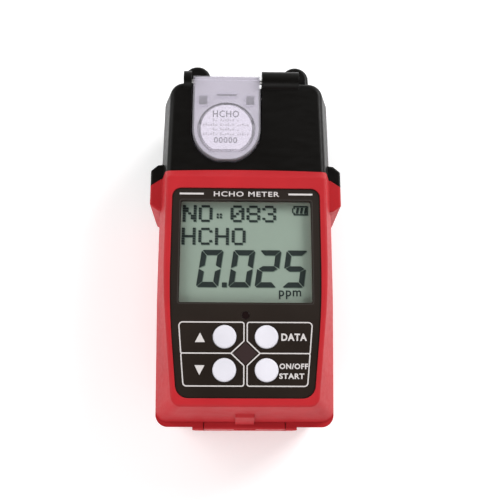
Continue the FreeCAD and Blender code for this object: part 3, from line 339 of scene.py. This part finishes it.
RED = moulded_plastic("red_case", (0.47, 0.022, 0.028), 0.42, wear=0.20, gloss=0.11)
BLACK = moulded_plastic("black_case", (0.0044, 0.0039, 0.0034), 0.36, wear=0.04, gloss=0.13)
OVERLAY = overlay_sheet("panel_black")
WINDOW = clear_window("clear_window")
FROSTED = frosted("frosted_holder", (0.86, 0.83, 0.90), 0.80)
# painted light: this pale grey material lies inside the frosted holder in place of the light its walls
# scatter
PAINTED_SCATTER_SHEET = moulded_plastic("painted_scatter_sheet", (0.50, 0.475, 0.525), 0.6, wear=0.0)
WHITE_KEY = moulded_plastic(
    "white_key", (0.74, 0.72, 0.78), 0.40, grain=0.25 * MM, depth=0.003 * MM, wear=0.1)
WHITE_PART = moulded_plastic("white_part", (0.84, 0.81, 0.86), 0.45, wear=0.1)
FRAME_WHITE = moulded_plastic("white_frame", (0.74, 0.74, 0.72), 0.5, wear=0.15)
SMALL_BLACK = moulded_plastic("black_small", (0.018, 0.018, 0.019), 0.45, wear=0.2)
SMOKED = moulded_plastic("smoked_lens", (0.012, 0.006, 0.006), 0.15, depth=0.001 * MM, wear=0.0)
RUBBER = moulded_plastic("dark_rubber", (0.03, 0.03, 0.035), 0.7)
RIBBON = moulded_plastic("ribbon", (0.70, 0.67, 0.60), 0.4)
GLASS_BACK = display_glass("lcd_glass")
STEEL = metal("steel", (0.62, 0.61, 0.59), 0.26)
BLACK_SCREW = metal("black_screw", (0.05, 0.05, 0.052), 0.42)
PLATED = metal("plated_spring", (0.78, 0.76, 0.72), 0.22)
BOARD = circuit_board("green_board")
JACKET = battery_jacket("cell_jacket")
CLEAR_LED = frosted("led_clear", (0.75, 0.78, 0.9), 0.6)
POROUS = frosted("porous_glass", (0.86, 0.88, 0.84), 0.25)
WHITE_INK = printed_ink("white_ink", (0.66, 0.62, 0.61))
LABEL_PAPER = printed_ink("label_paper", (0.80, 0.76, 0.83))
GREY_INK = printed_ink("grey_ink", (0.17, 0.16, 0.18))
PALE_INK = printed_ink("pale_ink", (0.50, 0.47, 0.50))
DARK_RED_INK = printed_ink("dark_red_ink", (0.026, 0.0105, 0.0105))
SEGMENT_INK = printed_ink("segment_ink", (0.022, 0.030, 0.030))
SEGMENT_SHADOW = printed_ink("segment_shadow", (0.190, 0.240, 0.205))
BORDER_INK = printed_ink("window_border", (0.034, 0.028, 0.024))

SLOT_MATERIAL = {
    "red_case": RED, "black_case": BLACK, "panel_black": OVERLAY, "clear_window": WINDOW,
    "lcd_glass": GLASS_BACK, "white_frame": FRAME_WHITE, "dark_rubber": RUBBER, "white_key": WHITE_KEY,
    "black_small": SMALL_BLACK, "switch_metal": STEEL, "smoked_lens": SMOKED, "green_board": BOARD,
    "steel": STEEL, "led_clear": CLEAR_LED, "ribbon": RIBBON, "frosted_holder": FROSTED,
    "white_element": WHITE_PART, "porous_glass": POROUS, "black_screw": BLACK_SCREW,
    "cell_jacket": JACKET, "plated_spring": PLATED,
}


def dress_nodes():
    """Give every CAD node the material of its slot."""
    for part in frame["record"]["subparts"]:
        node = frame["nodes"][part["node"]]
        node.data.materials.clear()
        node.data.materials.append(SLOT_MATERIAL[part["material_slot"]])


# ------------------------------------------------------------------ flat printed shapes
def mesh_piece(name, vertices, faces, material, body):
    mesh = bpy.data.meshes.new(name)
    mesh.from_pydata(vertices, [], faces)
    mesh.update()
    piece = bpy.data.objects.new(name, mesh)
    bpy.context.scene.collection.objects.link(piece)
    mesh.materials.append(material)
    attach(piece, body)
    return piece


class Sheet:
    """Collects flat raised shapes at one height and makes them one piece."""

    def __init__(self, z, depth):
        self.z = z
        self.depth = depth
        self.vertices = []
        self.faces = []

    def polygon(self, outline):
        """A filled convex outline, counter-clockwise, with side walls."""
        start = len(self.vertices)
        count = len(outline)
        self.vertices += [(x, y, self.z) for x, y in outline]
        self.vertices += [(x, y, self.z + self.depth) for x, y in outline]
        self.faces.append([start + count + i for i in range(count)])
        for i in range(count):
            j = (i + 1) % count
            self.faces.append([start + i, start + j, start + count + j, start + count + i])

    def rectangle(self, x0, y0, x1, y1):
        self.polygon([(x0, y0), (x1, y0), (x1, y1), (x0, y1)])

    def band(self, path, width):
        """A closed line of even width along path."""
        count = len(path)
        start = len(self.vertices)
        for i in range(count):
            before = Vector(path[i - 1])
            here = Vector(path[i])
            after = Vector(path[(i + 1) % count])
            ahead = (after - here).normalized()
            along = ((here - before).normalized() + ahead).normalized()
            side = Vector((-along.y, along.x))
            turn = max(0.5, side.dot(Vector((-ahead.y, ahead.x))))
            offset = side * (width / 2 / turn)
            for z in (self.z, self.z + self.depth):
                self.vertices.append((here.x + offset.x, here.y + offset.y, z))
                self.vertices.append((here.x - offset.x, here.y - offset.y, z))
        for i in range(count):
            a = start + 4 * i
            b = start + 4 * ((i + 1) % count)
            self.faces.append([a + 2, a + 3, b + 3, b + 2])
            self.faces.append([a, a + 2, b + 2, b])
            self.faces.append([a + 1, b + 1, b + 3, a + 3])

    def piece(self, name, material, body, slot):
        return mesh_piece(name, self.vertices, self.faces, material, body)


def rounded_path(corners, steps=6):
    """Points along a closed outline through corners (x, y, radius)."""
    points = []
    count = len(corners)
    for i in range(count):
        x, y, radius = corners[i]
        here = Vector((x, y))
        back = (Vector(corners[i - 1][:2]) - here).normalized()
        ahead = (Vector(corners[(i + 1) % count][:2]) - here).normalized()
        half = math.acos(max(-1.0, min(1.0, back.dot(ahead)))) / 2
        reach = radius / math.tan(half)
        centre = here + (back + ahead).normalized() * (radius / math.sin(half))
        first = here + back * reach - centre
        last = here + ahead * reach - centre
        for k in range(steps + 1):
            share = k / steps
            spoke = (first * (1 - share) + last * share).normalized() * radius
            points.append(tuple(centre + spoke))
    return points


def curve_to_piece(name, curve, material, body, place):
    """Turn a curve into a mesh piece, moving each point by place(x, y, z)."""
    holder = bpy.data.objects.new(name + "_curve", curve)
    bpy.context.scene.collection.objects.link(holder)
    bpy.context.view_layer.update()
    mesh = bpy.data.meshes.new_from_object(holder.evaluated_get(bpy.context.evaluated_depsgraph_get()))
    bpy.data.objects.remove(holder)
    place(mesh)
    mesh.materials.clear()
    mesh.materials.append(material)
    piece = bpy.data.objects.new(name, mesh)
    bpy.context.scene.collection.objects.link(piece)
    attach(piece, body)
    return piece


def text_piece(name, words, x, y, height, width, material, body, z, weight, align="LEFT"):
    """Raised lettering with capitals height tall, its left or centre at x and its foot at y."""
    curve = bpy.data.curves.new(name, "FONT")
    curve.body = words
    curve.align_x = align
    curve.size = height / 0.69
    curve.offset = weight
    curve.space_character = 1.12
    curve.extrude = PRINT_DEPTH / 2
    curve.resolution_u = 3

    def place(mesh):
        xs = [vertex.co.x for vertex in mesh.vertices]
        stretch = width / (max(xs) - min(xs))
        for vertex in mesh.vertices:
            vertex.co = (x + vertex.co.x * stretch, y + vertex.co.y, z + vertex.co.z + PRINT_DEPTH / 2)

    return curve_to_piece(name, curve, material, body, place)


# ------------------------------------------------------------------ keypad print
CELL_TOP = UPPER_ROW + 5.75 * MM
CELL_BOTTOM = LOWER_ROW - 6.2 * MM
CELL_TOP_HALF = 26.4 * MM
CELL_MIDDLE_HALF = 25.3 * MM
CELL_BOTTOM_HALF = 24.1 * MM
CELL_GAP = 0.64 * MM
DIAMOND_HALF_WIDTH = 5.7 * MM
DIAMOND_HALF_HEIGHT = 4.8 * MM
LINE_WIDTH = 0.48 * MM


def print_key_cells():
    """Four outlined cells round a diamond; the lower pair has thinner ink where the pairs share a line."""
    upper_lines = Sheet(PRINT_Z, PRINT_DEPTH)
    lower_lines = Sheet(PRINT_Z, PRINT_DEPTH * 0.7)
    for side in (-1, 1):
        upper = [
            (side * CELL_TOP_HALF, CELL_TOP, 1.4 * MM),
            (side * CELL_GAP, CELL_TOP, 0.9 * MM),
            (side * CELL_GAP, MIDDLE_ROW + DIAMOND_HALF_HEIGHT, 0.4 * MM),
            (side * DIAMOND_HALF_WIDTH, MIDDLE_ROW, 0.2 * MM),
            (side * CELL_MIDDLE_HALF, MIDDLE_ROW, 0.5 * MM),
        ]
        lower = [
            (side * CELL_MIDDLE_HALF, MIDDLE_ROW, 0.7 * MM),
            (side * DIAMOND_HALF_WIDTH, MIDDLE_ROW, 0.2 * MM),
            (side * CELL_GAP, MIDDLE_ROW - DIAMOND_HALF_HEIGHT, 0.4 * MM),
            (side * CELL_GAP, CELL_BOTTOM, 0.9 * MM),
            (side * CELL_BOTTOM_HALF, CELL_BOTTOM, 1.4 * MM),
        ]
        upper_lines.band(rounded_path(upper), LINE_WIDTH)
        lower_lines.band(rounded_path(lower), LINE_WIDTH)
    upper_lines.piece("print_key_cells_upper", WHITE_INK, "base", "white_key")
    lower_lines.piece("print_key_cells_lower", WHITE_INK, "base", "white_key")


def print_diamond():
    inner = Sheet(PRINT_Z, PRINT_DEPTH * 0.5)
    reach_x = DIAMOND_HALF_WIDTH - 1.2 * MM
    reach_y = DIAMOND_HALF_HEIGHT - 0.4 * MM
    inner.polygon([
        (0, MIDDLE_ROW - reach_y), (reach_x, MIDDLE_ROW),
        (0, MIDDLE_ROW + reach_y), (-reach_x, MIDDLE_ROW)])
    inner.piece("print_diamond", DARK_RED_INK, "base", "panel_black")


def print_arrows():
    arrows = Sheet(PRINT_Z, PRINT_DEPTH)
    x = -17.9 * MM
    half = 1.95 * MM
    arrows.polygon([
        (x - half, UPPER_ROW - 2.2 * MM), (x + half, UPPER_ROW - 2.2 * MM), (x, UPPER_ROW + 1.6 * MM)])
    arrows.polygon([
        (x - half, LOWER_ROW + 1.8 * MM), (x, LOWER_ROW - 2.0 * MM), (x + half, LOWER_ROW + 1.8 * MM)])
    arrows.piece("print_arrows", WHITE_INK, "base", "white_key")


def print_header():
    """Two bars at the panel's top, with a plain caption between them."""
    bars = Sheet(PRINT_Z, PRINT_DEPTH)
    y = PANEL_HIGH.y - 2.35 * MM
    for side in (-1, 1):
        ends = sorted((side * 17.5 * MM, side * 27.4 * MM))
        bars.rectangle(ends[0], y - 0.38 * MM, ends[1], y + 0.38 * MM)
    bars.piece("print_header_bars", WHITE_INK, "base", "white_key")
    text_piece(
        "print_header_caption", "HCHO METER", 0.0, y - 1.05 * MM, 2.1 * MM, 27 * MM, WHITE_INK, "base",
        PRINT_Z, 0.04 * MM, "CENTER")


def print_legends():
    x = 13.7 * MM
    small = 1.95 * MM
    text_piece(
        "print_data", "DATA", x + 0.2 * MM, UPPER_ROW - 1.4 * MM, 2.65 * MM, 10.1 * MM,
        WHITE_INK, "base", PRINT_Z, 0.14 * MM)
    text_piece(
        "print_on_off", "ON/OFF", x - 0.5 * MM, LOWER_ROW + 0.55 * MM, small, 11.2 * MM,
        WHITE_INK, "base", PRINT_Z, 0.10 * MM)
    text_piece(
        "print_start", "START", x - 0.6 * MM, LOWER_ROW - 3.25 * MM, small, 9.8 * MM,
        WHITE_INK, "base", PRINT_Z, 0.10 * MM)


# ------------------------------------------------------------------ display
DOTS = {
    "N": ("10001", "11001", "11001", "10101", "10011", "10011", "10001"),
    "O": ("01110", "10001", "10001", "10001", "10001", "10001", "01110"),
    "0": ("01110", "10001", "10011", "10101", "11001", "10001", "01110"),
    "8": ("01110", "10001", "10001", "01110", "10001", "10001", "01110"),
    "3": ("01110", "10001", "00001", "00110", "00001", "10001", "01110"),
    "H": ("10001", "10001", "10001", "11111", "10001", "10001", "10001"),
    "C": ("01110", "10001", "10000", "10000", "10000", "10001", "01110"),
}
LIT = {"0": "abcdef", "2": "abged", "5": "afgcd"}
DOT_X = 1.12 * MM
DOT_Y = 1.05 * MM
DOT_LAP = 0.04 * MM
DOT_GAP = 0.10 * MM
UPPER_LINE_PITCH = 6.6 * MM
LOWER_LINE_PITCH = 6.85 * MM
DIGIT_WIDTH = 8.9 * MM
DIGIT_HEIGHT = 15.6 * MM
DIGIT_BAR = 2.2 * MM
DIGIT_SLANT = 0.14
DIGIT_CORNER = 0.6 * MM
DIGIT_GAP = 0.16 * MM


def dot_row(sheet, words, left, top, pitch, shift):
    """A line of five by seven dot characters, pitch apart."""
    for place, letter in enumerate(words):
        for row, pattern in enumerate(DOTS[letter]):
            for column, on in enumerate(pattern):
                if on == "1":
                    x = left + place * pitch + column * DOT_X + shift
                    y = top - row * DOT_Y - shift
                    sheet.rectangle(
                        x - DOT_LAP, y - DOT_Y + DOT_LAP, x + DOT_X + 0.06 * MM, y - DOT_GAP)


def colon(sheet, x, y, shift):
    """Four small separate dots in a square about (x, y)."""
    half = 0.43 * MM
    for step_x in (-0.65 * MM, 0.65 * MM):
        for step_y in (-0.62 * MM, 0.62 * MM):
            dot_x = x + step_x + shift
            dot_y = y + step_y - shift
            sheet.rectangle(dot_x - half, dot_y - half, dot_x + half, dot_y + half)


def digit_segments():
    """Outlines of the seven mitred bars, upright, from the figure's lower left corner."""
    width = DIGIT_WIDTH
    height = DIGIT_HEIGHT
    bar = DIGIT_BAR
    gap = DIGIT_GAP
    cut = DIGIT_CORNER
    middle = height / 2
    notch = bar * 0.5 + gap
    nose = gap + 0.2 * bar
    right = width - bar
    return {
        "a": [(gap + cut, height), (width - gap - cut, height), (width - gap - cut / 2, height - cut / 2),
              (right - gap, height - bar), (bar + gap, height - bar), (gap + cut / 2, height - cut / 2)],
        "d": [(bar + gap, bar), (right - gap, bar), (width - gap - cut / 2, cut / 2),
              (width - gap - cut, 0), (gap + cut, 0), (gap + cut / 2, cut / 2)],
        "f": [(0, height - gap - cut), (cut / 2, height - gap - cut / 2), (bar, height - bar - gap),
              (bar, middle + notch), (0, middle + gap)],
        "b": [(right, height - bar - gap), (width - cut / 2, height - gap - cut / 2),
              (width, height - gap - cut), (width, middle + gap), (right, middle + notch)],
        "e": [(0, middle - gap), (bar, middle - notch), (bar, bar + gap), (cut / 2, gap + cut / 2),
              (0, gap + cut)],
        "c": [(right, middle - notch), (width, middle - gap), (width, gap + cut),
              (width - cut / 2, gap + cut / 2), (right, bar + gap)],
        "g": [(nose, middle), (bar, middle + bar * 0.5), (right, middle + bar * 0.5),
              (width - nose, middle), (right, middle - bar * 0.5), (bar, middle - bar * 0.5)],
    }


def digit(sheet, figure, left, foot, shift):
    """A seven-segment figure, leaning to the right."""
    segments = digit_segments()
    for letter in LIT[figure]:
        outline = [(left + x + y * DIGIT_SLANT + shift, foot + y - shift) for x, y in segments[letter]]
        sheet.polygon(list(reversed(outline)))


def display_marks(sheet, shift):
    """All the dark marks of the display; shift moves the copy that makes their soft shadow."""
    first_left = WINDOW_LEFT + 0.5 * MM
    first_top = WINDOW_TOP - 0.7 * MM
    dot_row(sheet, "NO", first_left, first_top, UPPER_LINE_PITCH, shift)
    dot_row(sheet, "083", first_left + 3 * UPPER_LINE_PITCH, first_top, UPPER_LINE_PITCH, shift)
    colon(sheet, first_left + 15.1 * MM, first_top - 4.7 * MM, shift)
    dot_row(sheet, "HCHO", WINDOW_LEFT + 0.3 * MM, WINDOW_TOP - 10.5 * MM, LOWER_LINE_PITCH, shift)
    foot = WINDOW_TOP - 35.6 * MM
    lefts = (6.5, 19.5, 30.2, 41.2)
    for figure, left in zip("0025", lefts):
        digit(sheet, figure, WINDOW_LEFT + left * MM, foot, shift)
    point = WINDOW_LEFT + 17.0 * MM
    point_size = 2.0 * MM
    sheet.rectangle(point + shift, foot - shift, point + point_size + shift, foot + point_size - shift)
    battery_icon(sheet, WINDOW_RIGHT - 6.9 * MM, WINDOW_TOP - 4.9 * MM, shift)


def battery_icon(sheet, left, foot, shift):
    width = 6.0 * MM
    height = 4.1 * MM
    x = left + shift
    y = foot - shift
    line = 0.55 * MM
    sheet.rectangle(x, y, x + width, y + line)
    sheet.rectangle(x, y + height - line, x + width, y + height)
    sheet.rectangle(x + width - line, y + line, x + width, y + height - line)
    sheet.rectangle(x - 0.1 * MM, y + line, x + line, y + height * 0.3)
    sheet.rectangle(x - 0.1 * MM, y + height * 0.7, x + line, y + height - line)
    sheet.rectangle(x - 0.6 * MM, y + height * 0.25, x - 0.15 * MM, y + height * 0.75)
    for i in range(3):
        start = x + (0.9 + 1.7 * i) * MM
        sheet.polygon([
            (start, y + 0.75 * MM), (start + 1.0 * MM, y + 0.75 * MM),
            (start + 1.5 * MM, y + height - 0.75 * MM), (start + 0.5 * MM, y + height - 0.75 * MM)])


def make_display():
    """The display's face, its marks and their soft shadow, and the thin border round the window."""
    face = Sheet(GLASS_HIGH.z + 0.02 * MM, 0.02 * MM)
    lap = 0.6 * MM
    face.rectangle(WINDOW_LEFT - lap, WINDOW_BOTTOM - lap, WINDOW_RIGHT + lap, WINDOW_TOP + lap)
    face.piece("display_face", GLASS_BACK, "base", "lcd_glass")
    shadow = Sheet(GLASS_HIGH.z + 0.06 * MM, 0.01 * MM)
    display_marks(shadow, 0.28 * MM)
    shadow.piece("display_marks_shadow", SEGMENT_SHADOW, "base", "lcd_glass")
    marks = Sheet(SEGMENT_Z, 0.02 * MM)
    display_marks(marks, 0.0)
    marks.piece("display_marks", SEGMENT_INK, "base", "lcd_glass")
    text_piece(
        "display_unit", "ppm", WINDOW_LEFT + 39.9 * MM, WINDOW_BOTTOM + 3.4 * MM, 3.5 * MM, 9.0 * MM,
        SEGMENT_INK, "base", SEGMENT_Z, 0.08 * MM)
    border = Sheet(PRINT_Z, PRINT_DEPTH)
    out = 0.55 * MM
    radius = 1.0 * MM
    border.band(rounded_path([
        (WINDOW_LEFT - out, WINDOW_TOP + out, radius), (WINDOW_RIGHT + out, WINDOW_TOP + out, radius),
        (WINDOW_RIGHT + out, WINDOW_BOTTOM - out, radius), (WINDOW_LEFT - out, WINDOW_BOTTOM - out, radius),
    ]), 0.28 * MM)
    border.piece("window_border", BORDER_INK, "base", "panel_black")


# ------------------------------------------------------------------ sensor element's label
LABEL_RADIUS = (ELEMENT_HIGH.x - ELEMENT_LOW.x) / 2 + 0.1 * MM
LABEL_CENTRE_Y = ELEMENT_HIGH.y - (ELEMENT_HIGH.x - ELEMENT_LOW.x) / 2 + 0.9 * MM
LABEL_FLAT_Y = ELEMENT_LOW.y + 0.55 * MM
# top edge of the pale sheet of painted light inside the holder
PAINTED_SCATTER_TOP = HOLDER_HIGH.y - 0.8 * MM


def make_element_label():
    """The element's paper label with generic wording: its gas, a row of zeros and rows of dashes."""
    x = (ELEMENT_LOW.x + ELEMENT_HIGH.x) / 2
    y = LABEL_CENTRE_Y
    radius = LABEL_RADIUS
    limit = math.asin((y - LABEL_FLAT_Y) / radius)
    sweep = [-limit + (math.pi + 2 * limit) * i / 60 for i in range(61)]
    paper = Sheet(ELEMENT_HIGH.z - 0.02 * MM, 0.10 * MM)
    paper.polygon([(x + radius * math.cos(a), y + radius * math.sin(a)) for a in sweep])
    paper.piece("element_label", LABEL_PAPER, "holder", "white_element")
    z = ELEMENT_HIGH.z + 0.09 * MM
    words_x = x - 0.3 * MM
    text_piece(
        "element_gas", "HCHO", words_x, y + 5.3 * MM, 3.0 * MM, 11.2 * MM,
        GREY_INK, "holder", z, 0.03 * MM, "CENTER")
    text_piece(
        "element_zeros", "00000", words_x, y - 6.6 * MM, 2.6 * MM, 9.8 * MM,
        GREY_INK, "holder", z, 0.02 * MM, "CENTER")
    rows = Sheet(z, PRINT_DEPTH)
    dash_pitch = 1.04 * MM
    dash_length = 0.55 * MM
    for rise, count in ((3.4, 11), (1.2, 19), (-0.9, 11), (-3.1, 19)):
        left = x - count * dash_pitch / 2
        for i in range(count):
            tall = 0.55 + 0.35 * ((i * 7 + count) % 3)
            if (i * 5 + count) % 7:
                start = left + i * dash_pitch
                rows.rectangle(start, y + rise * MM, start + dash_length, y + (rise + tall) * MM)
    rows.piece("element_rows", PALE_INK, "holder", "white_element")


def holder_outline(half, drop, top):
    """The holder's U about the sensor's centre: straight sides, round shoulders, a short flat end."""
    turn = math.asin(drop / half)
    arc = [math.pi + turn * i / 10 for i in range(11)]
    left = [(half * math.cos(a), half * math.sin(a)) for a in arc]
    right = [(-x, y) for x, y in reversed(left)]
    return [(-half, top)] + left + right + [(half, top)]


def make_painted_scatter_sheet():
    """A pale sheet in the holder's walls, painted light standing in for the light they scatter, with the
    well and pockets open.
    """
    x = (HOLDER_LOW.x + HOLDER_HIGH.x) / 2
    y = LABEL_CENTRE_Y
    half = 13.9 * MM
    well = LABEL_RADIUS + 1.35 * MM
    flat = y - ELEMENT_LOW.y + 0.1 * MM
    limit = math.asin(flat / well)
    steps = 40
    sweep = [-limit + (math.pi + 2 * limit) * i / steps for i in range(steps + 1)]
    outlines = [
        holder_outline(half, 13.7 * MM, PAINTED_SCATTER_TOP - y),
        [(well * math.cos(a), well * math.sin(a)) for a in sweep],
    ]
    for x0, x1, y0, y1 in ((-12.0, -8.4, 11.4, 15.6), (8.4, 12.0, 11.4, 15.6), (-4.3, 4.3, 15.4, 16.4)):
        outlines.append([(x0 * MM, y0 * MM), (x1 * MM, y0 * MM), (x1 * MM, y1 * MM), (x0 * MM, y1 * MM)])
    curve = bpy.data.curves.new("painted_scatter_sheet", "CURVE")
    curve.dimensions = "2D"
    curve.fill_mode = "BOTH"
    curve.extrude = 0.05 * MM
    for outline in outlines:
        spline = curve.splines.new("POLY")
        spline.points.add(len(outline) - 1)
        for point, (px, py) in zip(spline.points, outline):
            point.co = (px, py, 0.0, 1.0)
        spline.use_cyclic_u = True
    z = ELEMENT_HIGH.z - 0.5 * MM

    def place(mesh):
        for vertex in mesh.vertices:
            vertex.co = (x + vertex.co.x, y + vertex.co.y, z + vertex.co.z)

    curve_to_piece("painted_scatter_sheet", curve, PAINTED_SCATTER_SHEET, "holder", place)


# ------------------------------------------------------------------ stage, lights, camera
ROOM_DARK_FROM = 0.88
ROOM_BRIGHT_TO = 0.60
ROOM_TOP = 0.03
ROOM_SIDE = 0.75


def make_floor():
    size = 1.6
    corners = [(-size, -size), (size, -size), (size, size), (-size, size)]
    mesh = bpy.data.meshes.new("floor")
    mesh.from_pydata([(x, y, LOW.z) for x, y in corners], [], [(0, 1, 2, 3)])
    floor = bpy.data.objects.new("floor", mesh)
    mesh.materials.append(floor_sheet("floor_sheet"))
    bpy.context.scene.collection.objects.link(floor)


def area_light(name, place, target, width, height, power):
    data = bpy.data.lights.new(name, "AREA")
    data.shape = "RECTANGLE"
    data.size = width
    data.size_y = height
    data.energy = power
    lamp = bpy.data.objects.new(name, data)
    lamp.location = place
    lamp.rotation_mode = "QUATERNION"
    lamp.rotation_quaternion = (Vector(target) - Vector(place)).to_track_quat("-Z", "Y")
    bpy.context.scene.collection.objects.link(lamp)


def make_lights():
    """A large soft key high on the right behind, a fill on the left, and a white surround."""
    centre = (0.0, 0.0, 0.03)
    area_light("key", (0.55, 0.45, 0.50), centre, 0.42, 0.42, 5.2)
    area_light("fill", (-0.60, 0.20, 0.50), centre, 0.50, 0.60, 2.3)
    area_light("front", (-0.10, -0.55, 0.62), centre, 0.60, 0.40, 1.9)
    world = bpy.data.worlds.new("studio")
    world.use_nodes = True
    tree = world.node_tree
    coords = tree.nodes.new("ShaderNodeTexCoord")
    separate = tree.nodes.new("ShaderNodeSeparateXYZ")
    tree.links.new(coords.outputs["Generated"], separate.inputs["Vector"])
    glow = remap(tree, separate.outputs["Z"], ROOM_DARK_FROM, ROOM_BRIGHT_TO, ROOM_TOP, ROOM_SIDE)
    tree.nodes["Background"].inputs["Color"].default_value = (1.0, 1.0, 1.0, 1.0)
    tree.links.new(glow, tree.nodes["Background"].inputs["Strength"])
    bpy.context.scene.world = world
    bpy.context.scene.view_settings.view_transform = "Standard"


def make_camera():
    """The view from above the bottom end, leaning 15 degrees from straight down."""
    lens = 55.1
    distance = 309.8 * MM
    lean = math.radians(15.0)
    aim = Vector((1.65 * MM, -8.5 * MM, PANEL_HIGH.z))
    camera_data = bpy.data.cameras.new("camera")
    camera_data.lens = lens
    camera_data.sensor_width = 36.0
    camera_data.clip_start = 0.01
    camera_data.clip_end = 10.0
    camera = bpy.data.objects.new("camera", camera_data)
    sideways = 6.3 * MM
    camera.location = aim + Vector((-sideways, -math.sin(lean) * distance, math.cos(lean) * distance))
    camera.rotation_euler = Euler((lean, 0.0, 0.0))
    camera.rotation_euler.rotate_axis("Y", -math.atan2(sideways, distance))
    camera.rotation_euler.rotate_axis("Z", math.radians(0.45))
    bpy.context.scene.collection.objects.link(camera)
    bpy.context.scene.camera = camera


dress_nodes()
print_key_cells()
print_diamond()
print_arrows()
print_header()
print_legends()
make_display()
make_element_label()
make_painted_scatter_sheet()
make_floor()
make_lights()
make_camera()
